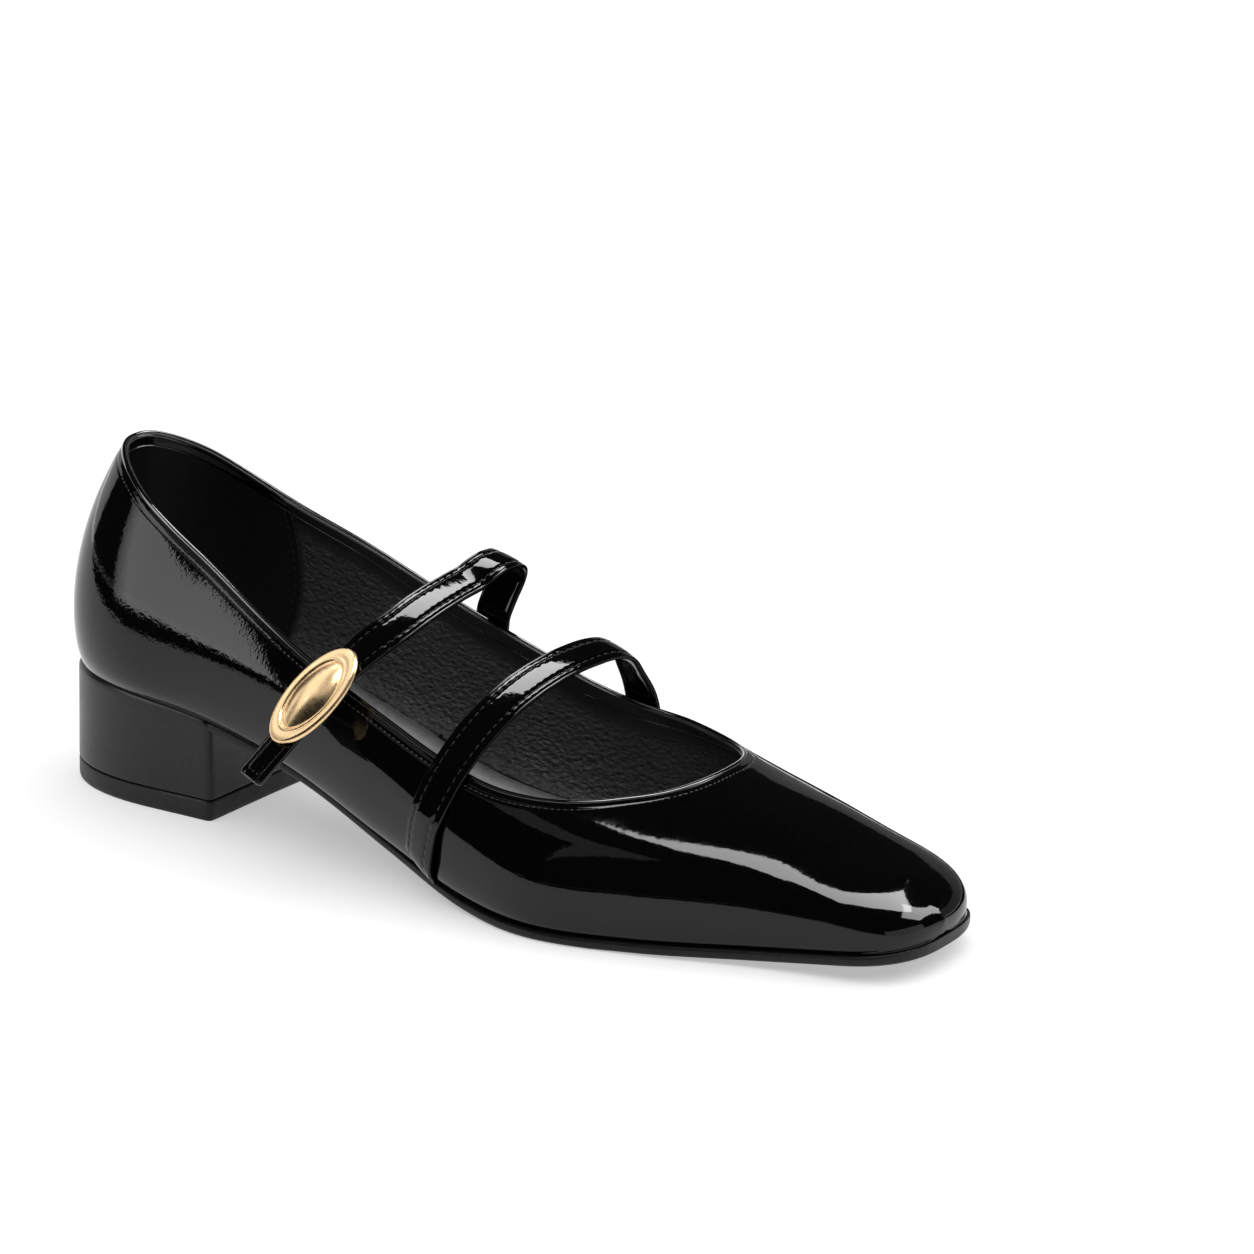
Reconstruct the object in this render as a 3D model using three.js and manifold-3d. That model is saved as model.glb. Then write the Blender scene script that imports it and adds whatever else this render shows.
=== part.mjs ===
// A right-foot mary jane pump: patent upper on a square-toed last, thin outsole, covered block heel,
// two instep straps and an oval dress buckle.
// Millimetres, +X to the toe, +Y to the medial (inner) side, +Z up, floor at z = 0.
import * as THREE from "three";
import { mergeVertices } from "three/addons/utils/BufferGeometryUtils.js";
import Module from "manifold-3d";

const wasm = await Module();
wasm.setup();

// ---------------------------------------------------------------- driving dimensions
const LENGTH = 247; // last, heel back to toe tip
const WALL = 1.5; // upper: patent leather and lining
const GAP = 0.3; // clearance between neighbouring pieces
const HEEL_ROUND = 36; // length of the round at the back of the heel
const HEEL_ROUNDNESS = 2.5; // superellipse power of the heel outline
const TOE_ROUND = 17; // length over which the toe corners round off
const TOE_SQUARENESS = 2.7; // superellipse power of the toe outline
const BACK_CURVE = { x: -0.3, height: 46, below: 0.007, above: 0.0062, fade: 95 }; // lean of the back seam
const TOE_FACE = { from: 185, nose: 11, top: 25, setback: 14, undercut: 0.03 }; // lean of the toe's face

const SOLE = { thick: 2.6, forepart: 1.2, waist: -0.4, bevel: 1.2 }; // edge stands out past the upper
const INSOLE_THICK = 2.6;
const HEEL = { breast: 51.5, back: -0.4, flare: 1, inset: 0.6, taper: 1.2, topPiece: 5.2, under: 45 };

const STRAP = { width: 9.7, thick: 1.6, lift: 0.55 };
const BUCKLE = { length: 28.6, width: 18.4, post: 1.2, bar: 1, barAlong: 3, barLength: 3 };

// Rows of numbers under named columns.
function table(columns, ...rows) {
  return rows.map((row) => Object.fromEntries(columns.map((column, i) => [column, row[i]])));
}

// One row for each section of the last. x: nominal station. lateral, medial: half widths at the feather
// line. seat: height of the feather line. bulge: how far the side swells past the feather line.
// belly: height of the widest level above the feather line. crest: top of the section.
// ridge: y of the crest. outer, inner: superellipse powers of the section above the belly, on each side.
const LAST = table(
  ["x", "lateral", "medial", "seat", "bulge", "belly", "crest", "ridge", "outer", "inner"],
  [0, 26, 26, 31.6, 3, 13, 94.5, 0, 1.8, 1.8],
  [25, 26, 26, 30.2, 3.4, 12.5, 93.5, 0, 1.85, 1.85],
  [51, 25, 24.5, 27, 4.5, 13.5, 80.5, 2, 2, 2.2],
  [80, 25.5, 21, 20, 6.2, 18.5, 69.5, 7, 2, 2.6],
  [110, 29.5, 22.5, 10.1, 6.5, 19, 58.5, 12, 2, 2.7],
  [138, 37, 30.5, 3.8, 4, 14.5, 49, 12, 1.9, 2.6],
  [160, 41, 35, 2.8, 1.8, 9.5, 41, 9, 2, 2.4],
  [185, 35, 34.5, 3.2, 1.6, 9, 33.5, 4, 2.2, 2.3],
  [210, 26, 29, 4.4, 1.4, 8, 28.5, 2, 2.5, 2.4],
  [232, 20.5, 24.5, 6.4, 1.2, 6, 23.5, 2, 2.8, 2.5],
  [247, 18.5, 22.5, 8.2, 1, 5, 20.5, 2, 3, 2.7],
);

// The collar as seen from the side: height of the topline on each side, by distance from the heel.
const TOPLINE = table(
  ["x", "lateral", "medial"],
  [-10, 93, 93],
  [8, 88.6, 88.4],
  [20, 83.8, 82.6],
  [30, 78.4, 76.6],
  [43, 70.9, 71],
  [65, 59.6, 63.5],
  [88, 49.8, 54.1],
  [114, 40.6, 44.1],
  [128, 35.9, 37.8],
  [143, 32.2, 34.2],
  [158, 31.3, 33.8],
  [172, 32.3, 33.0],
  [184, 34.3, 34.3],
  [200, 42, 42],
);
const COLLAR_HALF = 25; // the topline's height blends from side to side within this distance of y = 0

// ---------------------------------------------------------------- interpolation of the tables
// Cubic Hermite through the rows, with slopes from the neighbouring rows.
function readRow(table, x, column) {
  const last = table.length - 1;
  let i = 0;
  while (i < last - 1 && x > table[i + 1].x) i++;
  const slope = (k) => {
    const a = table[Math.max(k - 1, 0)];
    const b = table[Math.min(k + 1, last)];
    return (b[column] - a[column]) / (b.x - a.x);
  };
  const p = table[i];
  const q = table[i + 1];
  const span = q.x - p.x;
  const t = THREE.MathUtils.clamp((x - p.x) / span, 0, 1);
  const t2 = t * t;
  const t3 = t2 * t;
  return (
    (2 * t3 - 3 * t2 + 1) * p[column] +
    (t3 - 2 * t2 + t) * span * slope(i) +
    (3 * t2 - 2 * t3) * q[column] +
    (t3 - t2) * span * slope(i + 1)
  );
}

// ---------------------------------------------------------------- the last
// Share of the full half width left at a station: round at the heel, squarer at the toe.
function endRound(x) {
  if (x < HEEL_ROUND) {
    const t = 1 - Math.max(x, 0) / HEEL_ROUND;
    return Math.pow(1 - Math.pow(t, HEEL_ROUNDNESS), 1 / HEEL_ROUNDNESS);
  }
  const t = (x - (LENGTH - TOE_ROUND)) / TOE_ROUND;
  if (t <= 0) return 1;
  return Math.pow(Math.max(1 - Math.pow(Math.min(t, 1), TOE_SQUARENESS), 0), 1 / TOE_SQUARENESS);
}

// How far the back seam's curve and the toe's face carry the points of a station along X.
function lean(x, z) {
  const back = Math.max(1 - x / BACK_CURVE.fade, 0) ** 2;
  const front = Math.max((x - TOE_FACE.from) / (LENGTH - TOE_FACE.from), 0) ** 2;
  const rise = THREE.MathUtils.clamp((z - TOE_FACE.nose) / (TOE_FACE.top - TOE_FACE.nose), 0, 1);
  const below = Math.max(TOE_FACE.nose - z, 0);
  const slope = (TOE_FACE.setback * (1 - Math.cos(Math.PI * rise))) / 2;
  const setback = slope + TOE_FACE.undercut * below * below;
  const away = z - BACK_CURVE.height;
  const curve = (away < 0 ? BACK_CURVE.below : BACK_CURVE.above) * away * away;
  return back * (BACK_CURVE.x + curve) - front * setback;
}

// Distance along the shoe of a station's points at height z, drawn in at both ends by inset.
const alongShoe = (x, z, inset) => inset + x * (1 - (2 * inset) / LENGTH) + lean(x, z);

// A point of the last. x: nominal station, 0 to LENGTH. turn: -1 at the lateral feather line, through
// -BELLY_TURN at the lateral belly and 0 at the crest, to 1 at the medial feather line.
// inset: how far the surface is drawn in, for the inside of the wall.
const BELLY_TURN = 0.78;
function lastPoint(x, turn, inset = 0) {
  const side = turn < 0 ? "lateral" : "medial";
  const sign = turn < 0 ? -1 : 1;
  const seat = readRow(LAST, x, "seat");
  const belly = seat + readRow(LAST, x, "belly");
  const crest = readRow(LAST, x, "crest") - inset;
  const ridge = readRow(LAST, x, "ridge");
  const power = readRow(LAST, x, turn < 0 ? "outer" : "inner");
  const feather = readRow(LAST, x, side) - inset;
  const widest = feather + readRow(LAST, x, "bulge");
  const u = Math.abs(turn);
  let y;
  let z;
  if (u <= BELLY_TURN) {
    const angle = (1 - u / BELLY_TURN) * (Math.PI / 2);
    const out = Math.pow(Math.cos(angle), 2 / power);
    y = ridge * (1 - out) * endRound(x) + sign * widest * out * endRound(x);
    z = belly + (crest - belly) * Math.pow(Math.sin(angle), 2 / power);
  } else {
    const angle = ((u - BELLY_TURN) / (1 - BELLY_TURN)) * (Math.PI / 2);
    y = sign * (feather + (widest - feather) * Math.cos(angle)) * endRound(x);
    z = belly - (belly - seat) * Math.sin(angle);
  }
  return new THREE.Vector3(alongShoe(x, z, inset), y, z);
}

// ---------------------------------------------------------------- meshes and solids
// Closed solid through rings of points: each ring has the same number of points, and the ends are capped.
function loft(rings) {
  const count = rings[0].length;
  const positions = rings.flat().flatMap((p) => [p.x, p.y, p.z]);
  const index = [];
  for (let r = 0; r < rings.length - 1; r++)
    for (let k = 0; k < count; k++) {
      const a = r * count + k;
      const b = r * count + ((k + 1) % count);
      index.push(a, a + count, b, b, a + count, b + count);
    }
  const cap = (ring, start, flip) => {
    const centre = positions.length / 3;
    const middle = ring.reduce((sum, p) => sum.add(p), new THREE.Vector3()).divideScalar(count);
    positions.push(middle.x, middle.y, middle.z);
    for (let k = 0; k < count; k++) {
      const a = start + k;
      const b = start + ((k + 1) % count);
      index.push(...(flip ? [centre, b, a] : [centre, a, b]));
    }
  };
  cap(rings[0], 0, false);
  cap(rings.at(-1), (rings.length - 1) * count, true);
  const geometry = new THREE.BufferGeometry();
  geometry.setAttribute("position", new THREE.Float32BufferAttribute(positions, 3));
  geometry.setIndex(index);
  return geometry;
}

function toSolid(geometry) {
  const merged = mergeVertices(geometry, 1e-3);
  const triVerts = new Uint32Array(merged.index.array);
  const vertProperties = merged.attributes.position.array;
  if (signedVolume(vertProperties, triVerts) < 0) triVerts.reverse();
  return new wasm.Manifold(new wasm.Mesh({ numProp: 3, vertProperties, triVerts }));
}

// Volume inside the triangles, negative where they face inwards.
function signedVolume(vertices, triangles) {
  const corner = (i) => new THREE.Vector3().fromArray(vertices, triangles[i] * 3);
  let sum = 0;
  for (let i = 0; i < triangles.length; i += 3)
    sum += corner(i).dot(corner(i + 1).cross(corner(i + 2))) / 6;
  return sum;
}

function toGeometry(solid) {
  const mesh = solid.getMesh();
  const positions = new Float32Array(mesh.numVert * 3);
  for (let i = 0; i < mesh.numVert; i++)
    positions.set(mesh.vertProperties.subarray(i * mesh.numProp, i * mesh.numProp + 3), i * 3);
  const geometry = new THREE.BufferGeometry();
  geometry.setAttribute("position", new THREE.BufferAttribute(positions, 3));
  geometry.setIndex(new THREE.BufferAttribute(mesh.triVerts, 1));
  return geometry;
}

// ---------------------------------------------------------------- upper
const BACK_STATIONS = 9;
const BODY_STATIONS = 22;
const TOE_STATIONS = 9;
const TURNS_BELOW = 4; // steps from each feather line to the belly
const TURNS_ABOVE = 13; // steps from each belly to the crest

// Stations of the last, packed closer where the heel and the toe round off.
function lastStations() {
  const xs = [];
  for (let i = 0; i < BACK_STATIONS; i++)
    xs.push(HEEL_ROUND * (1 - Math.cos((i / BACK_STATIONS) * (Math.PI / 2))));
  const toeStart = LENGTH - TOE_ROUND;
  for (let i = 0; i < BODY_STATIONS; i++)
    xs.push(THREE.MathUtils.lerp(HEEL_ROUND, toeStart, i / BODY_STATIONS));
  for (let i = 0; i <= TOE_STATIONS; i++)
    xs.push(toeStart + TOE_ROUND * Math.sin((i / TOE_STATIONS) * (Math.PI / 2)));
  return xs;
}

// Turns of a section from one feather line over the crest to the other.
function lastTurns() {
  const half = [];
  for (let k = TURNS_BELOW; k > 0; k--) half.push(BELLY_TURN + (1 - BELLY_TURN) * (k / TURNS_BELOW));
  for (let k = TURNS_ABOVE; k > 0; k--) half.push(BELLY_TURN * (k / TURNS_ABOVE));
  return [...half.map((t) => -t), 0, ...half.reverse()];
}

// The last as a solid: its underside follows the feather line, lowered by drop.
function lastSolid(inset, drop) {
  const turns = lastTurns();
  const rings = lastStations().map((x) => {
    const ring = turns.map((turn) => lastPoint(x, turn, inset));
    if (drop > 0)
      for (const end of [ring.at(-1), ring[0]]) ring.push(new THREE.Vector3(end.x, end.y, end.z - drop));
    return ring;
  });
  return toSolid(loft(rings));
}

// Everything above the collar line, as a solid to cut away.
function aboveTopline() {
  const reach = 70;
  const ceiling = 150;
  const steps = 44;
  const rings = [];
  for (let i = 0; i <= steps; i++) {
    const x = THREE.MathUtils.lerp(TOPLINE[0].x, TOPLINE.at(-1).x, i / steps);
    const lateral = readRow(TOPLINE, x, "lateral");
    const medial = readRow(TOPLINE, x, "medial");
    rings.push([
      new THREE.Vector3(x, -reach, lateral),
      new THREE.Vector3(x, -COLLAR_HALF, lateral),
      new THREE.Vector3(x, COLLAR_HALF, medial),
      new THREE.Vector3(x, reach, medial),
      new THREE.Vector3(x, reach, ceiling),
      new THREE.Vector3(x, -reach, ceiling),
    ]);
  }
  return toSolid(loft(rings));
}

function makeUpper() {
  const shell = lastSolid(0, 0).subtract(lastSolid(WALL, 8));
  const open = shell.subtract(aboveTopline());
  return toGeometry(open.decompose().sort((a, b) => b.volume() - a.volume())[0]);
}

// ---------------------------------------------------------------- sole, insole and heel
// Plan outline of the feather line at a station, drawn out by proud (or in, if negative).
function outlineY(x, side, proud) {
  return (side === "lateral" ? -1 : 1) * Math.max((readRow(LAST, x, side) + proud) * endRound(x), 0.01);
}

function soleStations(from) {
  const toeStart = LENGTH - TOE_ROUND;
  const steps = 24;
  const xs = [];
  for (let i = 0; i < steps; i++) xs.push(THREE.MathUtils.lerp(from, toeStart, i / steps));
  for (let i = 0; i <= TOE_STATIONS; i++)
    xs.push(toeStart + TOE_ROUND * Math.sin((i / TOE_STATIONS) * (Math.PI / 2)));
  return xs;
}

// How far the sole edge stands out past the feather line: close at the waist, proud at the forepart.
function soleProud(x) {
  return THREE.MathUtils.lerp(SOLE.waist, SOLE.forepart, THREE.MathUtils.smoothstep(x, 75, 140));
}

// The outsole, from the heel breast to the toe, with a flat tread under the ball of the foot.
function makeOutsole() {
  const stretch = 1 + (SOLE.forepart - 1) / LENGTH;
  const rings = soleStations(HEEL.breast + GAP).map((x) => {
    const top = readRow(LAST, x, "seat") - GAP;
    const bottom = Math.max(top - SOLE.thick, 0);
    const proud = soleProud(x);
    const at = (side, out, z) => new THREE.Vector3(x * stretch, outlineY(x, side, proud + out), z);
    return [
      at("lateral", -SOLE.bevel, bottom),
      at("lateral", 0, bottom + 0.9),
      at("lateral", 0, top - 0.5),
      at("lateral", -0.5, top),
      at("medial", -0.5, top),
      at("medial", 0, top - 0.5),
      at("medial", 0, bottom + 0.9),
      at("medial", -SOLE.bevel, bottom),
    ];
  });
  return toGeometry(toSolid(loft(rings)));
}

function makeInsole() {
  const inset = WALL + GAP;
  const rings = lastStations().map((x) => {
    const bottom = readRow(LAST, x, "seat");
    const top = bottom + INSOLE_THICK;
    const at = (side, z) => new THREE.Vector3(alongShoe(x, z, inset), outlineY(x, side, -inset), z);
    return [at("lateral", bottom), at("lateral", top), at("medial", top), at("medial", bottom)];
  });
  return toGeometry(toSolid(loft(rings)));
}

// The D-shaped plan of the heel, one ring of points at height z: narrower at its sides by inset, and
// reaching further back by flare.
function heelRing(z, inset, flare) {
  const steps = 12;
  const back = HEEL.back - flare;
  const half = (side) => {
    const points = [];
    for (let i = 0; i <= steps; i++) {
      const x = HEEL.breast * (1 - Math.cos((i / steps) * (Math.PI / 2)));
      const y = outlineY(x, side, -HEEL.inset - inset);
      points.push(new THREE.Vector3(back + (x * (HEEL.breast - back)) / HEEL.breast, y, z));
    }
    return points;
  };
  return [...half("lateral").reverse(), ...half("medial").slice(1)];
}

// Everything above the seat, as a solid to cut away from the heel.
function aboveSeat() {
  const reach = 60;
  const ceiling = 90;
  const steps = 16;
  const rings = [];
  for (let i = 0; i <= steps; i++) {
    const x = THREE.MathUtils.lerp(-10, 90, i / steps);
    const z = readRow(LAST, Math.max(x, 0), "seat") - GAP;
    rings.push([
      new THREE.Vector3(x, -reach, z),
      new THREE.Vector3(x, reach, z),
      new THREE.Vector3(x, reach, ceiling),
      new THREE.Vector3(x, -reach, ceiling),
    ]);
  }
  return toSolid(loft(rings));
}

function makeHeel() {
  const rings = [heelRing(HEEL.topPiece + GAP, HEEL.taper, HEEL.flare), heelRing(HEEL.under, 0, 0)];
  return toGeometry(toSolid(loft(rings)).subtract(aboveSeat()));
}

function makeTopPiece() {
  const rings = [heelRing(0, HEEL.taper, HEEL.flare), heelRing(HEEL.topPiece, HEEL.taper, HEEL.flare)];
  return toGeometry(toSolid(loft(rings)));
}

// ---------------------------------------------------------------- straps
// The centre line of each strap over the last. turn: as in lastPoint. x: distance from the heel.
// lift: clearance under the strap beyond STRAP.lift, where it stands off in a loop.
const STRAP_FRONT = table(
  ["turn", "x", "lift"],
  [-1, 122.5, 1.5],
  [-0.85, 126.8, 0.8],
  [-0.7, 130, 0],
  [-0.5, 132.4, 0],
  [-0.25, 134.4, 0],
  [0, 137, 1],
  [0.2, 138.8, 2.2],
  [0.35, 139.8, 0.4],
  [0.5, 140.5, 0],
  [0.6, 140.5, 0],
  [0.8, 139, 0.3],
  [1, 134, 0.9],
);
const STRAP_REAR = table(
  ["turn", "x", "lift"],
  [-0.4, 99, 0.9],
  [-0.25, 101.4, 0.4],
  [0, 102.6, 1.5],
  [0.18, 103, 6.8],
  [0.3, 102.6, 8.8],
  [0.4, 101.6, 4],
  [0.5, 100.6, 0.5],
  [0.6, 99.6, 0],
  [0.8, 96.5, 0.7],
  [1, 92, 1.7],
);
const FOOT_TURN = 0.93; // where a strap's lasted end stops, just above the feather line
const STRAIGHT_TURN = 0.89; // past this turn a strap keeps its direction

// Table rows are looked up by x, so a strap's rows are keyed by their turn here.
const byTurn = (rows) => rows.map((row) => ({ ...row, at: row.x, x: row.turn }));

// Point of the last's surface at a true distance x from the heel.
function surfaceAt(x, turn) {
  let station = x;
  for (let i = 0; i < 8; i++) station += x - lastPoint(station, turn).x;
  return { station, point: lastPoint(station, turn) };
}

// Outward normal of the last's surface. Below the belly it is kept level, clear of the sole edge.
function surfaceNormal(station, turn) {
  const lo = Math.max(turn - 0.004, -1);
  const hi = Math.min(turn + 0.004, 1);
  const along = lastPoint(station + 0.5, turn).sub(lastPoint(station - 0.5, turn));
  const around = lastPoint(station, hi).sub(lastPoint(station, lo));
  const normal = new THREE.Vector3().crossVectors(along, around).normalize();
  normal.z = Math.max(normal.z, 0);
  return normal.normalize();
}

// Underside of a strap's centre line at a turn.
function strapCentre(rows, turn) {
  const { station, point } = surfaceAt(readRow(rows, turn, "at"), turn);
  const normal = surfaceNormal(station, turn);
  return { point: point.addScaledVector(normal, STRAP.lift + readRow(rows, turn, "lift")), normal };
}

// Frame of a strap at a turn: its underside, the direction along it, across it and out of it.
function strapFrame(rows, turn) {
  const step = 0.01;
  const { point, normal } = strapCentre(rows, turn);
  const steady = THREE.MathUtils.clamp(turn, -STRAIGHT_TURN, STRAIGHT_TURN);
  const ahead = strapCentre(rows, steady + step).point;
  const along = ahead.sub(strapCentre(rows, steady - step).point).normalize();
  const across = new THREE.Vector3().crossVectors(along, normal).normalize();
  return { point, along, across, out: new THREE.Vector3().crossVectors(across, along) };
}

// One ring of points round a strap's section.
function strapRing({ point, across, out }) {
  const at = (side, up) => {
    const shifted = point.clone().addScaledVector(across, side * (STRAP.width / 2));
    return shifted.addScaledVector(out, up * STRAP.thick);
  };
  return [at(-1, 0), at(0, 0), at(1, 0), at(1, 1), at(0, 1), at(-1, 1)];
}

function strapRings(rows, from, to, steps) {
  const keyed = byTurn(rows);
  const rings = [];
  for (let i = 0; i <= steps; i++)
    rings.push(strapRing(strapFrame(keyed, THREE.MathUtils.lerp(from, to, i / steps))));
  return rings;
}

// The fastened strap's free end runs straight on from the last's surface and out under the buckle.
const TAIL = {
  middle: new THREE.Vector3(94, -35.4, 43.5), // strap underside below the middle of the buckle
  along: new THREE.Vector3(-0.35, -0.63, -0.698).normalize(), // towards the tip
  across: new THREE.Vector3(0.914, -0.392, -0.105),
  start: -5,
  end: 24.9,
};
TAIL.across.addScaledVector(TAIL.along, -TAIL.across.dot(TAIL.along)).normalize();
TAIL.out = new THREE.Vector3().crossVectors(TAIL.across, TAIL.along).negate();

function tailRings() {
  const steps = 4;
  const rings = [];
  for (let i = 0; i <= steps; i++) {
    const distance = THREE.MathUtils.lerp(TAIL.end, TAIL.start, i / steps);
    const point = TAIL.middle.clone().addScaledVector(TAIL.along, distance);
    rings.push(strapRing({ point, across: TAIL.across, out: TAIL.out }));
  }
  return rings;
}

function makeStrapFront() {
  return toGeometry(toSolid(loft(strapRings(STRAP_FRONT, -FOOT_TURN, FOOT_TURN, 48))));
}

function makeStrapRear() {
  const rings = [...tailRings(), ...strapRings(STRAP_REAR, -0.36, FOOT_TURN, 36)];
  return toGeometry(toSolid(loft(rings)));
}

// ---------------------------------------------------------------- buckle
// Rows of the oval plate's profile. share: size against the full oval. height: above the underside.
const BUCKLE_PROFILE = table(
  ["share", "height"],
  [0.94, 0],
  [1, 0.5],
  [0.985, 1.1],
  [0.93, 1.5],
  [0.8, 1.7],
  [0.72, 1.5],
  [0.66, 1.6],
  [0.5, 2.6],
  [0.26, 3.3],
);

// The plate with its dome, and behind it a keeper bar on two posts that the strap runs through.
// Built lying flat: X along the strap, Y across it, Z outwards, with the plate's underside at z = 0.
function makeBuckle() {
  const points = 36;
  const rings = BUCKLE_PROFILE.map(({ share, height }) => {
    const ring = [];
    for (let i = 0; i < points; i++) {
      const angle = (i / points) * 2 * Math.PI;
      const x = (BUCKLE.length / 2) * Math.cos(angle);
      const y = (BUCKLE.width / 2) * Math.sin(angle);
      ring.push(new THREE.Vector3(x * share, y * share, height));
    }
    return ring;
  });
  let solid = toSolid(loft(rings));
  const drop = STRAP.thick + 2 * GAP; // clear height between plate and bar
  const inner = STRAP.width / 2 + GAP;
  const box = (x, y, z, dx, dy, dz) => toSolid(bare(new THREE.BoxGeometry(dx, dy, dz).translate(x, y, z)));
  for (const side of [-1, 1]) {
    const y = side * (inner + BUCKLE.post / 2);
    const height = drop + BUCKLE.bar + 0.8;
    solid = solid.add(box(BUCKLE.barAlong, y, 0.8 - height / 2, BUCKLE.barLength, BUCKLE.post, height));
  }
  const span = 2 * (inner + BUCKLE.post);
  solid = solid.add(box(BUCKLE.barAlong, 0, -drop - BUCKLE.bar / 2, BUCKLE.barLength, span, BUCKLE.bar));
  const place = new THREE.Matrix4().makeBasis(TAIL.along, TAIL.across, TAIL.out);
  place.setPosition(TAIL.middle.clone().addScaledVector(TAIL.out, STRAP.thick + GAP));
  return toGeometry(solid).applyMatrix4(place);
}

// Geometry with its positions alone, so that shared corners merge.
function bare(geometry) {
  geometry.deleteAttribute("normal");
  geometry.deleteAttribute("uv");
  return geometry;
}

// ---------------------------------------------------------------- assembly
function piece(name, geometry, color, roughness, metalness = 0) {
  const mesh = new THREE.Mesh(geometry, new THREE.MeshStandardMaterial({ color, roughness, metalness }));
  mesh.name = name;
  return mesh;
}

const shoe = new THREE.Group();
shoe.add(
  piece("upper", makeUpper(), 0x0a0a0b, 0.12),
  piece("outsole", makeOutsole(), 0x141414, 0.55),
  piece("insole", makeInsole(), 0x1a1a1a, 0.6),
  piece("heel", makeHeel(), 0x121212, 0.5),
  piece("heel_top_piece", makeTopPiece(), 0x161616, 0.6),
  piece("strap_front", makeStrapFront(), 0x0a0a0b, 0.12),
  piece("strap_rear", makeStrapRear(), 0x0a0a0b, 0.12),
  piece("buckle", makeBuckle(), 0xd9b27c, 0.25, 1),
);

// The origin is moved to the middle of the bounding box's underside.
const box = new THREE.Box3().setFromObject(shoe);
const middle = box.getCenter(new THREE.Vector3());
shoe.position.set(-middle.x, -middle.y, -box.min.z);
export default new THREE.Group().add(shoe);
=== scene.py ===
"""Looks for a right-foot mary jane pump: patent leather, leather lining, covered heel, gilt oval buckle."""

import math

import bmesh
import bpy
import numpy as np
from mathutils import Matrix, Vector


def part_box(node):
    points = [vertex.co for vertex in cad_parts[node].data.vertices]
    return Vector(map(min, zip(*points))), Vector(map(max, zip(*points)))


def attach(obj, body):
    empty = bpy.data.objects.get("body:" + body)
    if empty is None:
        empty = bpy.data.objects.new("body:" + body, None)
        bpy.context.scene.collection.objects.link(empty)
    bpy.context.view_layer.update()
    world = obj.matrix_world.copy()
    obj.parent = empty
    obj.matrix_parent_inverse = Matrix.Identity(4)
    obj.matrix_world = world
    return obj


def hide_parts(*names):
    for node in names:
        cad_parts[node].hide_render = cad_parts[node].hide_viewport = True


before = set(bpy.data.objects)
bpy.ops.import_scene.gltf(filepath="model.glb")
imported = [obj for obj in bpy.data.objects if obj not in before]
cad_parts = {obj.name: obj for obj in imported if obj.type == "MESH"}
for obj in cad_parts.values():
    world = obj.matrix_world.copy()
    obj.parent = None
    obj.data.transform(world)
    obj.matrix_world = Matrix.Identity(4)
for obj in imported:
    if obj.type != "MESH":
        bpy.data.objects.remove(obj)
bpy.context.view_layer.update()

# ---------------------------------------------------------------- the last, as in the CAD part (millimetres)
LENGTH = 247.0
WALL = 1.5
GAP = 0.3
HEEL_ROUND = 36.0
HEEL_ROUNDNESS = 2.5
TOE_ROUND = 17.0
TOE_SQUARENESS = 2.7
BACK_CURVE = {"x": -0.3, "height": 46, "below": 0.007, "above": 0.0062, "fade": 95}
TOE_FACE = {"from": 185, "nose": 11, "top": 25, "setback": 14, "undercut": 0.03}
SOLE = {"thick": 2.6, "forepart": 1.2, "waist": -0.4}
INSOLE_THICK = 2.6
HEEL = {"breast": 51.5, "back": -0.4, "flare": 1.0, "inset": 0.6, "taper": 1.2, "top_piece": 5.2}
STRAP_WIDTH = 9.7
STRAP_THICK = 1.6
STRAP_LIFT = 0.55
BELLY_TURN = 0.78
COLLAR_HALF = 25.0


def table(columns, *rows):
    values = np.array(rows, float)
    return {column: values[:, i] for i, column in enumerate(columns)}


LAST = table(
    ["x", "lateral", "medial", "seat", "bulge", "belly", "crest", "ridge", "outer", "inner"],
    [0, 26, 26, 31.6, 3, 13, 94.5, 0, 1.8, 1.8],
    [25, 26, 26, 30.2, 3.4, 12.5, 93.5, 0, 1.85, 1.85],
    [51, 25, 24.5, 27, 4.5, 13.5, 80.5, 2, 2, 2.2],
    [80, 25.5, 21, 20, 6.2, 18.5, 69.5, 7, 2, 2.6],
    [110, 29.5, 22.5, 10.1, 6.5, 19, 58.5, 12, 2, 2.7],
    [138, 37, 30.5, 3.8, 4, 14.5, 49, 12, 1.9, 2.6],
    [160, 41, 35, 2.8, 1.8, 9.5, 41, 9, 2, 2.4],
    [185, 35, 34.5, 3.2, 1.6, 9, 33.5, 4, 2.2, 2.3],
    [210, 26, 29, 4.4, 1.4, 8, 28.5, 2, 2.5, 2.4],
    [232, 20.5, 24.5, 6.4, 1.2, 6, 23.5, 2, 2.8, 2.5],
    [247, 18.5, 22.5, 8.2, 1, 5, 20.5, 2, 3, 2.7],
)
TOPLINE = table(
    ["x", "lateral", "medial"],
    [-10, 93, 93], [8, 88.6, 88.4], [20, 83.8, 82.6], [30, 78.4, 76.6], [43, 70.9, 71], [65, 59.6, 63.5],
    [88, 49.8, 54.1], [114, 40.6, 44.1], [128, 35.9, 37.8], [143, 32.2, 34.2], [158, 31.3, 33.8],
    [172, 32.3, 33.0], [184, 34.3, 34.3], [200, 42, 42],
)
STRAP_FRONT = table(
    ["x", "at", "lift"],
    [-1, 122.5, -0.2], [-0.85, 126.8, 0], [-0.7, 130, 0], [-0.5, 132.4, 0], [-0.25, 134.4, 0], [0, 137, 1],
    [0.2, 138.8, 2.2], [0.35, 139.8, 0.4], [0.5, 140.5, 0], [0.6, 140.5, 0], [0.8, 139, 0], [1, 134, -0.2],
)
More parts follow.
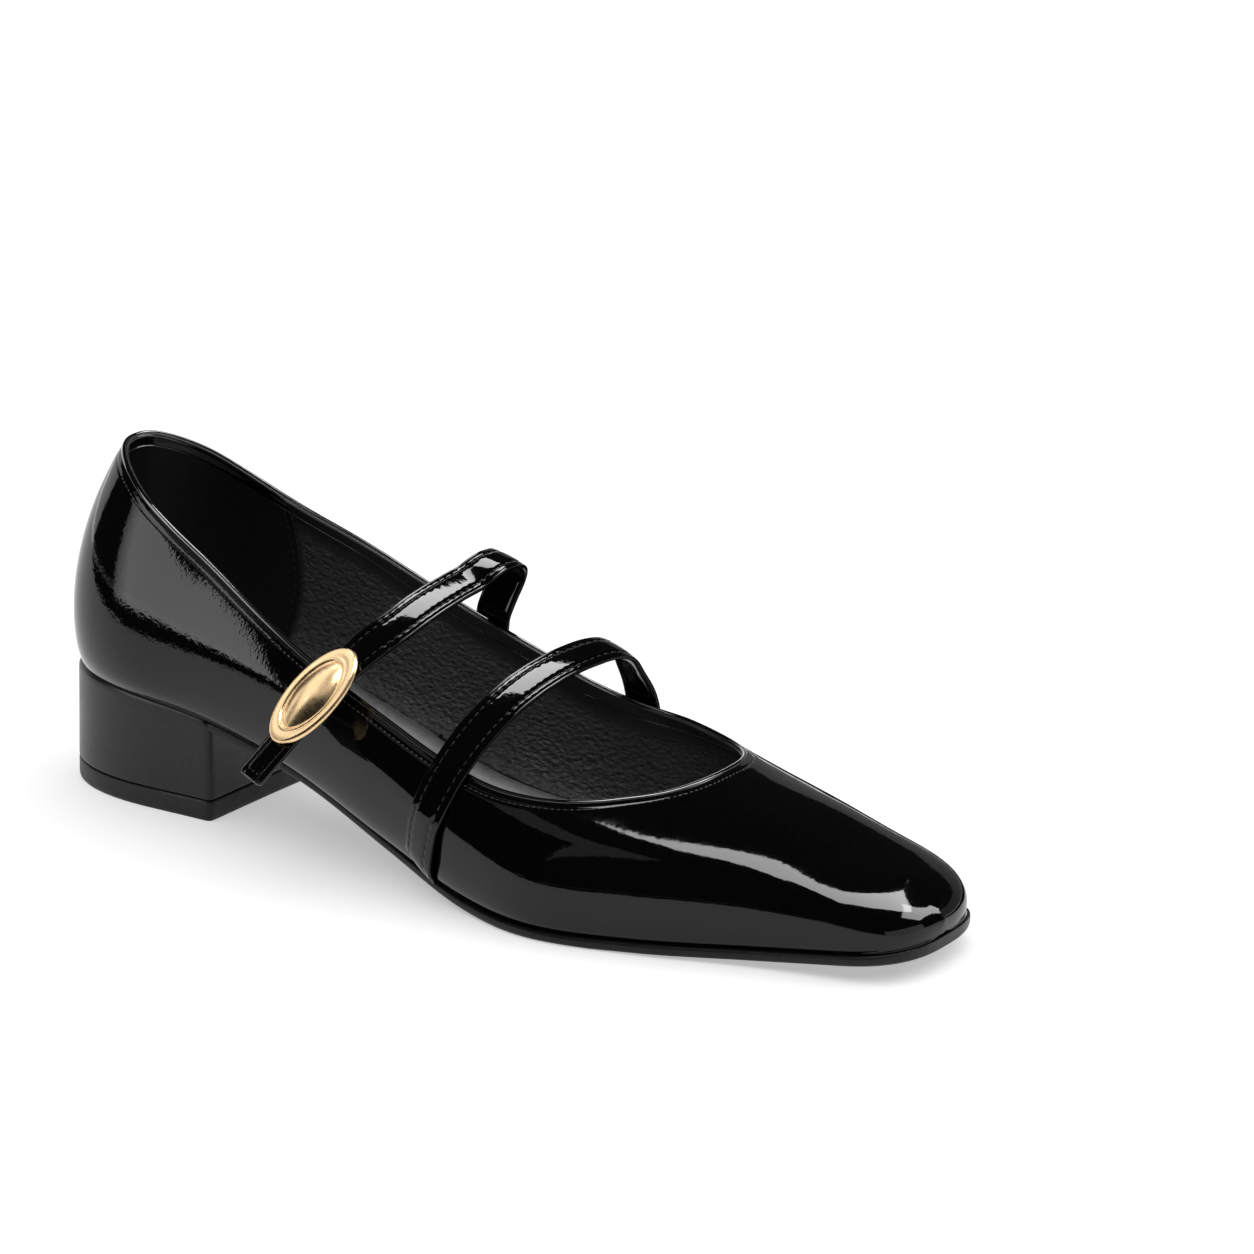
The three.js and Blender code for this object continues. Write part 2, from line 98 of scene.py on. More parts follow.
STRAP_REAR = table(
    ["x", "at", "lift"],
    [-0.4, 99, 0.9], [-0.25, 101.4, 0.4], [0, 102.6, 1.5], [0.18, 103, 6.8], [0.3, 102.6, 8.8],
    [0.4, 101.6, 4], [0.5, 100.6, 0.5], [0.6, 99.6, 0], [0.8, 96.5, 0], [1, 92, -0.2],
)


def read_row(rows, x, column):
    """Cubic Hermite through a table's rows, with slopes from the neighbouring rows."""
    xs, ys = rows["x"], rows[column]
    x = np.asarray(x, float)
    slope = np.empty_like(ys)
    slope[1:-1] = (ys[2:] - ys[:-2]) / (xs[2:] - xs[:-2])
    slope[0] = (ys[1] - ys[0]) / (xs[1] - xs[0])
    slope[-1] = (ys[-1] - ys[-2]) / (xs[-1] - xs[-2])
    i = np.clip(np.searchsorted(xs, x) - 1, 0, len(xs) - 2)
    span = xs[i + 1] - xs[i]
    t = np.clip((x - xs[i]) / span, 0, 1)
    rise = (3 - 2 * t) * t * t
    return ((1 - rise) * ys[i] + rise * ys[i + 1]
            + t * (1 - t) ** 2 * span * slope[i] + (t - 1) * t * t * span * slope[i + 1])


def smoothstep(x, low, high):
    t = np.clip((np.asarray(x, float) - low) / (high - low), 0, 1)
    return t * t * (3 - 2 * t)


def end_round(x):
    back = 1 - np.clip(x, 0, HEEL_ROUND) / HEEL_ROUND
    toe = np.clip((x - (LENGTH - TOE_ROUND)) / TOE_ROUND, 0, 1)
    return ((1 - back ** HEEL_ROUNDNESS) ** (1 / HEEL_ROUNDNESS)
            * (1 - toe ** TOE_SQUARENESS) ** (1 / TOE_SQUARENESS))


def lean(x, z):
    back = np.maximum(1 - x / BACK_CURVE["fade"], 0) ** 2
    front = np.maximum((x - TOE_FACE["from"]) / (LENGTH - TOE_FACE["from"]), 0) ** 2
    rise = np.clip((z - TOE_FACE["nose"]) / (TOE_FACE["top"] - TOE_FACE["nose"]), 0, 1)
    below = np.maximum(TOE_FACE["nose"] - z, 0)
    setback = TOE_FACE["setback"] * (1 - np.cos(np.pi * rise)) / 2 + TOE_FACE["undercut"] * below ** 2
    away = z - BACK_CURVE["height"]
    curve = np.where(away < 0, BACK_CURVE["below"], BACK_CURVE["above"]) * away ** 2
    return back * (BACK_CURVE["x"] + curve) - front * setback


def last_point(x, turn):
    """Points of the last. turn: -1 at the lateral feather line, 0 at the crest, 1 at the medial one."""
    x, turn = np.broadcast_arrays(np.asarray(x, float), np.asarray(turn, float))
    medial = turn >= 0
    sign = np.where(medial, 1.0, -1.0)
    seat = read_row(LAST, x, "seat")
    belly = seat + read_row(LAST, x, "belly")
    crest = read_row(LAST, x, "crest")
    ridge = read_row(LAST, x, "ridge")
    power = np.where(medial, read_row(LAST, x, "inner"), read_row(LAST, x, "outer"))
    feather = np.where(medial, read_row(LAST, x, "medial"), read_row(LAST, x, "lateral"))
    widest = feather + read_row(LAST, x, "bulge")
    u = np.abs(turn)
    angle = (1 - np.minimum(u / BELLY_TURN, 1)) * np.pi / 2
    out = np.maximum(np.cos(angle), 0) ** (2 / power)
    y_above = ridge * (1 - out) + sign * widest * out
    z_above = belly + (crest - belly) * np.maximum(np.sin(angle), 0) ** (2 / power)
    under = np.clip((u - BELLY_TURN) / (1 - BELLY_TURN), 0, 1) * np.pi / 2
    y_below = sign * (feather + (widest - feather) * np.cos(under))
    z_below = belly - (belly - seat) * np.sin(under)
    above = u <= BELLY_TURN
    y = np.where(above, y_above, y_below) * end_round(x)
    z = np.where(above, z_above, z_below)
    return np.stack([x + lean(x, z), y, z], -1)


def topline_height(x, y):
    share = np.clip((y + COLLAR_HALF) / (2 * COLLAR_HALF), 0, 1)
    return read_row(TOPLINE, x, "lateral") * (1 - share) + read_row(TOPLINE, x, "medial") * share


def outline_y(x, side, proud):
    half = (read_row(LAST, x, side) + proud) * end_round(x)
    return (-1 if side == "lateral" else 1) * np.maximum(half, 0.01)


# ---------------------------------------------------------------- small vector and mesh helpers
def unit(v):
    return v / np.maximum(np.linalg.norm(v, axis=-1, keepdims=True), 1e-9)


def arc_length(points):
    """Distance along a polyline, along its first axis."""
    steps = np.linalg.norm(np.diff(points, axis=0), axis=-1)
    return np.concatenate([np.zeros_like(steps[:1]), np.cumsum(steps, axis=0)])


def resample(points, values, targets):
    """Columns of values at the target distances along the polyline."""
    arc = arc_length(points)
    return np.stack([np.interp(targets, arc, values[:, k]) for k in range(values.shape[1])], -1)


def blur(values, rounds, wrap=False):
    """Binomial smoothing along the first axis, with its ends held."""
    values = values.copy()
    for _ in range(rounds):
        if wrap:
            values = (np.roll(values, 1, 0) + 2 * values + np.roll(values, -1, 0)) / 4
        else:
            values[1:-1] = (values[:-2] + 2 * values[1:-1] + values[2:]) / 4
    return values


def grid_faces(rows, columns, wrap=False, start=0):
    faces = []
    for j in range(rows - 1):
        for i in range(columns if wrap else columns - 1):
            a = start + j * columns + i
            b = start + j * columns + (i + 1) % columns
            faces.append((a, b, b + columns, a + columns))
    return faces


top_low, top_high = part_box("heel_top_piece")
OFFSET = np.array([top_low.x * 1000 - HEEL["back"] + HEEL["flare"], 0.0, 0.0])


def heel_outline(inset, flare):
    """D-shaped plan of the heel, from the lateral breast corner round the back to the medial one."""
    angle = np.linspace(0, np.pi / 2, 61)
    nominal = HEEL["breast"] * (1 - np.cos(angle))
    back = HEEL["back"] - flare
    x = back + nominal * (HEEL["breast"] - back) / HEEL["breast"]
    lateral = np.stack([x, outline_y(nominal, "lateral", -HEEL["inset"] - inset)], -1)
    medial = np.stack([x, outline_y(nominal, "medial", -HEEL["inset"] - inset)], -1)
    return np.concatenate([lateral[::-1], medial[1:]])


OFFSET[1] = top_low.y * 1000 - heel_outline(HEEL["taper"], HEEL["flare"])[:, 1].min()
ALL_PIECES = []


def make_piece(name, points, faces, material, replaces=(), attributes=None, merge=0.0):
    """A mesh piece from points in the last's millimetres."""
    mesh = bpy.data.meshes.new(name)
    placed = (np.asarray(points, float).reshape(-1, 3) + OFFSET) / 1000
    mesh.from_pydata(placed.tolist(), [], faces)
    for key, values in (attributes or {}).items():
        layer = mesh.attributes.new(key, "FLOAT", "POINT")
        layer.data.foreach_set("value", np.asarray(values, np.float32).ravel())
    edit = bmesh.new()
    edit.from_mesh(mesh)
    if merge:
        bmesh.ops.remove_doubles(edit, verts=edit.verts, dist=merge)
    bmesh.ops.recalc_face_normals(edit, faces=edit.faces)
    edit.to_mesh(mesh)
    edit.free()
    mesh.shade_smooth()
    piece = bpy.data.objects.new(name, mesh)
    bpy.context.scene.collection.objects.link(piece)
    mesh.materials.append(material)
    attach(piece, "root")
    if replaces:
        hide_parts(*replaces)
    ALL_PIECES.append(piece)
    return piece


def sharpen(piece, degrees):
    piece.data.set_sharp_from_angle(angle=math.radians(degrees))


def sweep(profile, centre, axis_a, axis_b):
    """Points of a profile (columns a, b) carried along a centre line. Rows: stations."""
    profile = np.asarray(profile, float)
    if profile.ndim == 2:
        profile = np.broadcast_to(profile, (len(centre),) + profile.shape)
    return centre[:, None] + profile[..., :1] * axis_a[:, None] + profile[..., 1:2] * axis_b[:, None]


def tube_faces(stations, around, closed):
    """Faces of a swept closed profile: rows are stations, columns go round the profile."""
    faces = []
    for j in range(stations if closed else stations - 1):
        for i in range(around):
            a = j * around + i
            b = j * around + (i + 1) % around
            c = ((j + 1) % stations) * around
            faces.append((a, b, c + (i + 1) % around, c + i))
    if not closed:
        faces.append(tuple(range(around))[::-1])
        faces.append(tuple(range((stations - 1) * around, stations * around)))
    return faces


# ---------------------------------------------------------------- materials
class Nodes:
    """Short names for building a node material."""

    def __init__(self, name):
        self.material = bpy.data.materials.new(name)
        self.material.use_nodes = True
        self.tree = self.material.node_tree
        self.shader = self.tree.nodes["Principled BSDF"]
        self.coords = self.add("ShaderNodeTexCoord").outputs["Object"]

    def add(self, kind, **settings):
        node = self.tree.nodes.new(kind)
        for key, value in settings.items():
            setattr(node, key, value)
        return node

    def link(self, out, into):
        self.tree.links.new(out, into)

    def set(self, **values):
        for key, value in values.items():
            self.shader.inputs[key.replace("_", " ")].default_value = value

    def noise(self, scale, detail=2.0, roughness=0.5, stretch=None, distortion=0.0):
        node = self.add("ShaderNodeTexNoise")
        node.inputs["Scale"].default_value = scale
        node.inputs["Detail"].default_value = detail
        node.inputs["Roughness"].default_value = roughness
        node.inputs["Distortion"].default_value = distortion
        self.link(self.stretched(stretch), node.inputs["Vector"])
        return node.outputs["Fac"]

    def cells(self, scale, feature="F1", stretch=None):
        node = self.add("ShaderNodeTexVoronoi", feature=feature)
        node.inputs["Scale"].default_value = scale
        self.link(self.stretched(stretch), node.inputs["Vector"])
        return node.outputs["Distance"]

    def stretched(self, stretch):
        if stretch is None:
            return self.coords
        node = self.add("ShaderNodeMapping")
        node.inputs["Scale"].default_value = stretch[:3]
        if len(stretch) > 3:
            node.inputs["Rotation"].default_value = stretch[3:]
        self.link(self.coords, node.inputs["Vector"])
        return node.outputs["Vector"]

    def attribute(self, name):
        return self.add("ShaderNodeAttribute", attribute_name=name).outputs["Fac"]

    def math(self, operation, a, b):
        node = self.add("ShaderNodeMath", operation=operation)
        for socket, value in zip(node.inputs, (a, b)):
            if isinstance(value, (int, float)):
                socket.default_value = value
            else:
                self.link(value, socket)
        return node.outputs["Value"]

    def ramp(self, value, low, high, to_low, to_high):
        node = self.add("ShaderNodeMapRange")
        for key, number in (("From Min", low), ("From Max", high), ("To Min", to_low), ("To Max", to_high)):
            node.inputs[key].default_value = number
        self.link(value, node.inputs["Value"])
        return node.outputs["Result"]

    def bump(self, height, millimetres, strength=1.0, base=None):
        node = self.add("ShaderNodeBump")
        node.inputs["Distance"].default_value = millimetres / 1000
        if isinstance(strength, float):
            node.inputs["Strength"].default_value = strength
        else:
            self.link(strength, node.inputs["Strength"])
        self.link(height, node.inputs["Height"])
        if base is not None:
            self.link(base, node.inputs["Normal"])
        return node.outputs["Normal"]

    def colours(self, value, dark, light, low=0.3, high=0.7):
        node = self.add("ShaderNodeValToRGB")
        ramp = node.color_ramp
        ramp.elements[0].position, ramp.elements[1].position = low, high
        ramp.elements[0].color = (*dark, 1)
        ramp.elements[1].color = (*light, 1)
        self.link(value, node.inputs["Fac"])
        return node.outputs["Color"]

    def paint(self, socket, value):
        self.link(value, self.shader.inputs[socket])


def patent_material(name, peel, hammered, gloss=0.27, film=0.1):
    """Black patent leather under a clear glossy film. peel and hammered: heights of its relief, in mm."""
    n = Nodes(name)
    n.set(Specular_IOR_Level=gloss, Coat_Weight=film, Coat_Roughness=0.03, Coat_IOR=1.5)
    n.paint("Base Color", n.colours(n.noise(900, 3), (0.0009, 0.0009, 0.001), (0.002, 0.002, 0.0022)))
    n.paint("Roughness", n.ramp(n.noise(400, 2), 0.3, 0.7, 0.035, 0.075))
    waves = n.bump(n.noise(260, 2.0), peel)
    surface = n.bump(n.noise(1500, 2.0, stretch=(1, 1, 0.6)), peel * 0.12, base=waves)
    if hammered:
        surface = n.bump(n.noise(1050, 1.5, 0.6), hammered, strength=n.attribute("hammered"), base=surface)
    n.paint("Normal", surface)
    n.paint("Coat Normal", surface)
    return n.material


def lining_material():
    """Black lining leather, smooth round the heel and at the edges, wrinkled grain further forward. Its
    colour is lighter over the grain as a painted light, and darker in the crease hollows as a painted shade.
    """
    n = Nodes("lining_leather")
    n.set(Specular_IOR_Level=0.45)
    wrinkle = n.cells(900, "SMOOTH_F1", stretch=(0.75, 1, 1.15, 0, -0.5, 0))
    crease = n.noise(1000, 3, 0.6, stretch=(0.65, 1, 1.2, 0, -0.5, 0), distortion=0.8)
    relief = n.math("ADD", n.math("MULTIPLY", wrinkle, 0.9), n.math("MULTIPLY", crease, 0.9))
    # painted light and shade: the colour is lighter where the grain lies, standing in for light on the
    # wrinkles, and darker in the crease hollows
    painted_light_and_crease_shade = n.math("MULTIPLY", n.attribute("grain"), n.ramp(crease, 0.3, 0.7, 0.55, 1.0))
    n.paint("Base Color", n.colours(painted_light_and_crease_shade, (0.008, 0.008, 0.0083), (0.085, 0.085, 0.087), 0.0, 1.0))
    n.paint("Roughness", n.ramp(n.noise(120, 3), 0.3, 0.7, 0.36, 0.5))
    fine = n.bump(n.noise(3200, 2), 0.02)
    n.paint("Normal", n.bump(relief, 1.1, strength=n.attribute("grain"), base=fine))
    return n.material


def footbed_material():
    """Dark grey fine-grained leather of the footbed, with a painted sheen: its colour is lighter along a band
    on its medial side.
    """
    n = Nodes("footbed_leather")
    n.set(Specular_IOR_Level=0.5)
    mottle = n.math("MULTIPLY", n.noise(260, 4, 0.65), 0.5)
    # painted sheen: the base colour is lightened along a band on the medial side
    tone = n.math("ADD", mottle, n.math("MULTIPLY", n.attribute("painted_sheen_band"), 0.6))
    n.paint("Base Color", n.colours(tone, (0.085, 0.085, 0.088), (0.34, 0.34, 0.345), 0.15, 0.85))
    n.paint("Roughness", n.ramp(n.noise(60, 2, stretch=(0.3, 1, 1)), 0.3, 0.7, 0.34, 0.52))
    fine = n.bump(n.cells(1700, "SMOOTH_F1", stretch=(0.7, 1, 1)), 0.09)
    n.paint("Normal", n.bump(n.noise(90, 3, stretch=(0.4, 1, 1)), 0.25, base=fine))
    return n.material


def heel_material():
    """Semi-matte black leather drawn over the heel block."""
    n = Nodes("heel_cover")
    n.set(Specular_IOR_Level=0.3)
    n.paint("Base Color", n.colours(n.noise(500, 4, 0.6), (0.006, 0.006, 0.0065), (0.011, 0.011, 0.012)))
    n.paint("Roughness", n.ramp(n.noise(90, 3), 0.3, 0.7, 0.27, 0.36))
    fine = n.bump(n.noise(1600, 3), 0.022)
    n.paint("Normal", n.bump(n.noise(140, 2), 0.06, base=fine))
    return n.material


def rubber_material(name, dark, light, roughness):
    """Black moulded rubber with a fine scuffed grain."""
    n = Nodes(name)
    n.set(Specular_IOR_Level=0.22)
    n.paint("Base Color", n.colours(n.noise(700, 4, 0.7), dark, light))
    n.paint("Roughness", n.ramp(n.noise(300, 3), 0.3, 0.7, roughness - 0.06, roughness + 0.08))
    fine = n.bump(n.noise(2600, 2), 0.03)
    n.paint("Normal", n.bump(n.noise(240, 2, stretch=(0.4, 1, 1)), 0.07, base=fine))
    return n.material


def thread_material(name, dark, light):
    n = Nodes(name)
    n.set(Specular_IOR_Level=0.6, Sheen_Weight=0.2, Sheen_Roughness=0.4)
    n.paint("Base Color", n.colours(n.noise(2500, 2), dark, light))
    n.paint("Roughness", n.ramp(n.noise(1800, 2), 0.3, 0.7, 0.3, 0.45))
    n.paint("Normal", n.bump(n.noise(4200, 1), 0.05))
    return n.material


def gold_material():
    """Satin gilt metal, with the grain of its brushing and a tone that varies a little at random."""
    n = Nodes("buckle_metal")
    n.set(Metallic=1.0)
    n.paint("Base Color", n.colours(n.noise(180, 4, 0.6), (0.87, 0.61, 0.33), (0.93, 0.68, 0.39)))
    n.paint("Roughness", n.ramp(n.noise(700, 3), 0.3, 0.7, 0.25, 0.31))
    n.paint("Normal", n.bump(n.noise(2600, 2, stretch=(0.25, 1, 1)), 0.002))
    return n.material


PATENT = patent_material("patent_leather", 0.028, 0.024)
PATENT_STRAP = patent_material("patent_leather_strap", 0.04, 0.0)
PATENT_EDGE = patent_material("patent_leather_edge", 0.012, 0.0, gloss=0.6, film=1.0)
LINING = lining_material()
FOOTBED = footbed_material()
HEEL_COVER = heel_material()
SOLE_RUBBER = rubber_material("sole_rubber", (0.006, 0.006, 0.006), (0.013, 0.013, 0.013), 0.34)
TOP_PIECE_RUBBER = rubber_material("top_piece_rubber", (0.009, 0.009, 0.009), (0.018, 0.018, 0.018), 0.42)
THREAD = thread_material("thread", (0.006, 0.006, 0.006), (0.02, 0.02, 0.021))
GOLD = gold_material()

# ---------------------------------------------------------------- upper
# a grid from the topline down to the feather line
HALF_COLUMNS = 400  # columns on each side, from the back seam to the middle of the throat
TOE_COLUMNS = 26  # of these, the ones that end on the middle of the toe's face
NEAR_ROWS = 22  # rows within NEAR of the topline
NEAR = 6.6
FAN_FROM = 112.0  # the columns spread out towards the toe from this station on
FAR_ROWS = 50


def arc_table():
    """Nominal stations of the last against distance round its plan outline."""
    phi = np.linspace(0, np.pi / 2, 400)
    back = HEEL_ROUND * (1 - np.cos(phi) ** (2 / HEEL_ROUNDNESS))
    body = np.linspace(HEEL_ROUND, LENGTH - TOE_ROUND, 500)
    toe = LENGTH - TOE_ROUND + TOE_ROUND * np.sin(phi) ** (2 / TOE_SQUARENESS)
    x = np.concatenate([back, body[1:], toe[1:]])
    half = (read_row(LAST, x, "lateral") + read_row(LAST, x, "medial")) / 2 * end_round(x)
    return x, arc_length(np.stack([x, half], -1))


STATIONS, STATION_ARC = arc_table()
TOTAL_ARC = STATION_ARC[-1]


def station_of(v):
    return np.interp(v, STATION_ARC, STATIONS)


def arc_of(x):
    return np.interp(x, STATIONS, STATION_ARC)


def bisect(function, low, high):
    """Root of a rising function, for arrays."""
    low, high = np.array(low, float), np.array(high, float)
    for _ in range(40):
        middle = (low + high) / 2
        above = function(middle) > 0
        high = np.where(above, middle, high)
        low = np.where(above, low, middle)
    return (low + high) / 2


def above_topline(x, turn):
    point = last_point(x, turn)
    return point[..., 2] - topline_height(point[..., 0], point[..., 1])


def topline_domain(sign):
    """The topline on one side, as rows of (distance round the plan, turn), from the back seam forwards."""
    split = 150.0
    v = np.linspace(0, arc_of(split), 500)
    x = station_of(v)
    turn = bisect(lambda t: above_topline(x, sign * t), np.full_like(x, 0.999), np.full_like(x, 1e-6))
    front_turn = np.linspace(turn[-1], 1e-6, 300)[1:]
    front_x = bisect(lambda s: -above_topline(s, sign * front_turn),
                     np.full_like(front_turn, 120.0), np.full_like(front_turn, 205.0))
    return np.stack([np.concatenate([v, arc_of(front_x)]), sign * np.concatenate([turn, front_turn])], -1)


def toe_line(sign):
    """Turns down the middle of the toe's face, from the feather line up to the crest, at even heights."""
    turns = np.linspace(1, 0, 400)
    height = last_point(LENGTH, sign * turns)[:, 2]
    wanted = np.linspace(height[0], height[-1], TOE_COLUMNS + 1)
    return sign * np.interp(wanted, height, turns)


def half_upper(sign):
    """Surface points of one side: rows from the topline down, columns from the back seam to the throat."""
    line = topline_domain(sign)
    surface = last_point(station_of(line[:, 0]), line[:, 1])
    arc = arc_length(surface)
    fan = np.interp(arc_of(FAN_FROM), line[:, 0], arc)
    reach = arc[-1] - fan
    toe = toe_line(sign)
    toe_rise = np.abs(last_point(LENGTH, toe[-1])[2] - last_point(LENGTH, toe[0])[2])
    boundary = TOTAL_ARC - arc_of(FAN_FROM) + toe_rise
    slope = reach / boundary

    def share(q):
        return slope * q + (1 - slope) * q * q

    toe_start = bisect(lambda q: share(q) - (1 - toe_rise / boundary), 0.0, 1.0)
    straight = np.linspace(0, fan, int(HALF_COLUMNS * 0.45))
    curved = fan + reach * np.linspace(0, toe_start, HALF_COLUMNS - TOE_COLUMNS - len(straight) + 2)[1:]
    ending = fan + reach * np.linspace(toe_start, 1, TOE_COLUMNS + 1)[1:]
    at = np.concatenate([straight, curved, ending])
    start = resample(surface, line, at)
    q = np.clip((at - fan) / reach, 0, 1)
    foot_v = np.where(at <= fan, start[:, 0], arc_of(FAN_FROM) + share(q) * boundary)
    foot = np.stack([np.minimum(foot_v, TOTAL_ARC), np.full(len(at), sign * 1.0)], -1)
    foot[-(TOE_COLUMNS + 1):, 0] = TOTAL_ARC
    foot[-(TOE_COLUMNS + 1):, 1] = toe
    lane = np.linspace(0, 1, 240)[:, None, None]
    domain = start * (1 - lane) + foot * lane
    domain[..., 1] = sign * np.abs(domain[..., 1])
    path = last_point(station_of(domain[..., 0]), np.where(domain[..., 1] == 0, sign * 1e-9, domain[..., 1]))
    walked = arc_length(path)
    rows = NEAR_ROWS + FAR_ROWS
    result = np.empty((rows, len(at), 3))
    for i in range(len(at)):
        near = np.linspace(0, NEAR, NEAR_ROWS, endpoint=False)
        wanted = np.concatenate([near, np.linspace(NEAR, walked[-1, i], FAR_ROWS)])
        lanes = np.interp(wanted, walked[:, i], lane[:, 0, 0])
        mixed = start[i] * (1 - lanes[:, None]) + foot[i] * lanes[:, None]
        result[:, i] = last_point(station_of(mixed[:, 0]), sign * np.maximum(np.abs(mixed[:, 1]), 1e-9))
    return result


lateral_half = half_upper(-1)
medial_half = half_upper(1)
BASE = np.concatenate([lateral_half, medial_half[:, -2:0:-1]], axis=1)  # columns go round the shoe
COLUMNS = BASE.shape[1]
FRONT = lateral_half.shape[1] - 1
BASE = blur(BASE, 14)
blurred = blur(BASE.transpose(1, 0, 2), 6, wrap=True).transpose(1, 0, 2)
BASE[1:-1] = blurred[1:-1]


def grid_normals(grid):
    across = np.roll(grid, -1, 1) - np.roll(grid, 1, 1)
    down = np.gradient(grid, axis=0)
    normal = unit(np.cross(across, down))
    middle = grid[..., 1] * normal[..., 1]
    return normal * (1 if middle.mean() > 0 else -1)


NORMAL = grid_normals(BASE)
NORMAL = unit(blur(NORMAL, 2))
RIM = BASE[0]
RIM_ARC = np.concatenate([arc_length(RIM), [0]])[:COLUMNS]
RIM_LENGTH = RIM_ARC[-1] + np.linalg.norm(RIM[0] - RIM[-1])

# distance of every grid point from the topline
distance = np.empty(BASE.shape[:2])
for j in range(BASE.shape[0]):
    distance[j] = np.linalg.norm(BASE[j][:, None] - RIM[None], axis=-1).min(1)

STITCH_LINE = 2.9  # millimetres from the topline
STITCH_PITCH = RIM_LENGTH / round(RIM_LENGTH / 1.55)
from_line = distance - STITCH_LINE
# the leather thins towards the topline, where the binding folds over it, and the stitches press a channel in
thinning = -0.42 * (1 - np.clip(distance / (STITCH_LINE - 0.3), 0, 1)) ** 1.2
channel = -0.15 * np.exp(-((from_line / 0.38) ** 2))
relief = thinning + channel
back_seam = np.minimum(RIM_ARC, RIM_LENGTH - RIM_ARC)
relief = relief - 0.3 * np.exp(-((back_seam / 0.45) ** 2))[None]
relief = relief + 0.12 * np.exp(-(((back_seam - 1.2) / 0.6) ** 2))[None]
relief[-1] = 0
OUTER = BASE + NORMAL * relief[..., None]


def shell(outer, inner, name, material, replaces, attributes=None):
    """Closed shell from two grids with the same columns, welded down the middle of the toe."""
    rows, columns = outer.shape[:2]
    inner_rows = inner.shape[0]
    points = np.concatenate([outer.reshape(-1, 3), inner.reshape(-1, 3)])
    start = rows * columns
    faces = grid_faces(rows, columns, True) + grid_faces(inner_rows, columns, True, start)
    last_outer = (rows - 1) * columns
    last_inner = start + (inner_rows - 1) * columns
    toe_from = round((FRONT - TOE_COLUMNS) * columns / COLUMNS)
    toe_to = columns - toe_from if columns != COLUMNS else 2 * FRONT - toe_from
    for i in range(columns):
        k = (i + 1) % columns
        faces.append((i, k, start + k, start + i))
        if not (toe_from <= i < toe_to):
            faces.append((last_outer + i, last_outer + k, last_inner + k, last_inner + i))
    values = {key: np.concatenate([v.ravel(), np.zeros(inner_rows * columns)])
              for key, v in (attributes or {}).items()}
    return make_piece(name, points, faces, material, replaces, values, merge=2e-6)


x_grid, z_grid = BASE[..., 0], BASE[..., 2]
# the quarters' leather is faintly pebbled behind the straps
pebbled = smoothstep(x_grid, 6, 22) * (1 - smoothstep(x_grid, 72, 98)) * (1 - smoothstep(distance, 44, 52))
pebbled = np.maximum(pebbled, 0.12)
hidden_rows = [0, 8, 16, 24, 34, 44, 54, 64, BASE.shape[0] - 1]
inner_skin = BASE[hidden_rows] - 0.75 * NORMAL[hidden_rows]
shell(OUTER, inner_skin, "upper_patent", PATENT, ("upper",), {"hammered": pebbled})

# ---------------------------------------------------------------- lining
# the lining's side seams: distance from the heel at their foot and top, and the heights where it changes
SEAM = {"foot": 37, "top": 41, "low": 25, "high": 50}
seam_x = SEAM["foot"] + (SEAM["top"] - SEAM["foot"]) * smoothstep(z_grid, SEAM["low"], SEAM["high"])
from_seam = x_grid - seam_x
# the grain mask also lightens the lining's colour there, a painted light on the wrinkles
grain = smoothstep(from_seam, 0.5, 3) * smoothstep(distance, 4, 11) * (1 - smoothstep(x_grid, 165, 188))
step = 0.45 * smoothstep(from_seam, -0.3, 0.3)
SEAM_ROWS = (-1.1, 1.3)  # the two rows of stitches, from the seam
seam_groove = sum(0.108 * np.exp(-(((from_seam - row) / 0.35) ** 2)) for row in SEAM_ROWS)
lining_depth = WALL + step + seam_groove
inner_face = BASE - NORMAL * lining_depth[..., None]
skip = slice(None, None, 2)
lining_outer = (BASE - 0.9 * NORMAL)[hidden_rows][:, skip]
shell(inner_face[:, skip], lining_outer, "lining", LINING, (),
      {"grain": grain[:, skip]})

# ---------------------------------------------------------------- binding folded over the topline
tangent = unit(np.roll(RIM, -1, 0) - np.roll(RIM, 1, 0))
rim_normal = unit(blur(NORMAL[1], 6, wrap=True))
down = np.cross(rim_normal, tangent)
down = unit(down * np.sign((down * (BASE[6] - RIM)).sum(-1, keepdims=True)))
tangent = unit(blur(tangent, 2, wrap=True))
BINDING = [  # out from the surface, down from the topline
    (-0.3, 1.0), (0.02, 0.95), (0.1, 0.78), (0.13, 0.55),
    (0.12, 0.3), (0.04, 0.08), (-0.1, -0.1), (-0.28, -0.2),
    (-0.48, -0.22), (-0.68, -0.15), (-0.84, 0.0), (-0.95, 0.16), (-1.1, 0.2), (-1.35, 0.16), (-1.6, 0.28),
    (-1.8, 0.55), (-1.92, 1.2), (-1.95, 2.1), (-1.98, 2.9), (-1.95, 3.2), (-1.8, 3.35), (-1.5, 3.35),
    (-1.2, 3.2), (-1.1, 1.6), (-0.8, 1.2),
]
binding = sweep(BINDING, RIM, rim_normal, down)
make_piece("collar_binding", binding, tube_faces(COLUMNS, len(BINDING), True), PATENT_EDGE)


def cord_ring(centre, axis_a, axis_b, radius, around=8):
    """Closed round cord along a closed centre line."""
    angle = np.arange(around) * 2 * np.pi / around
    ring = np.stack([np.cos(angle) * radius, np.sin(angle) * radius], -1)
    return sweep(ring, centre, axis_a, axis_b), tube_faces(len(centre), around, True)


CORD_RADIUS = 0.24
CORD_IN, CORD_DOWN = 1.98, 3.45  # from the topline, inside the collar
cord_centre = RIM - CORD_IN * rim_normal + CORD_DOWN * down
points, faces = cord_ring(cord_centre, rim_normal, down, CORD_RADIUS)
make_piece("collar_edge_cord", points, faces, PATENT_EDGE)


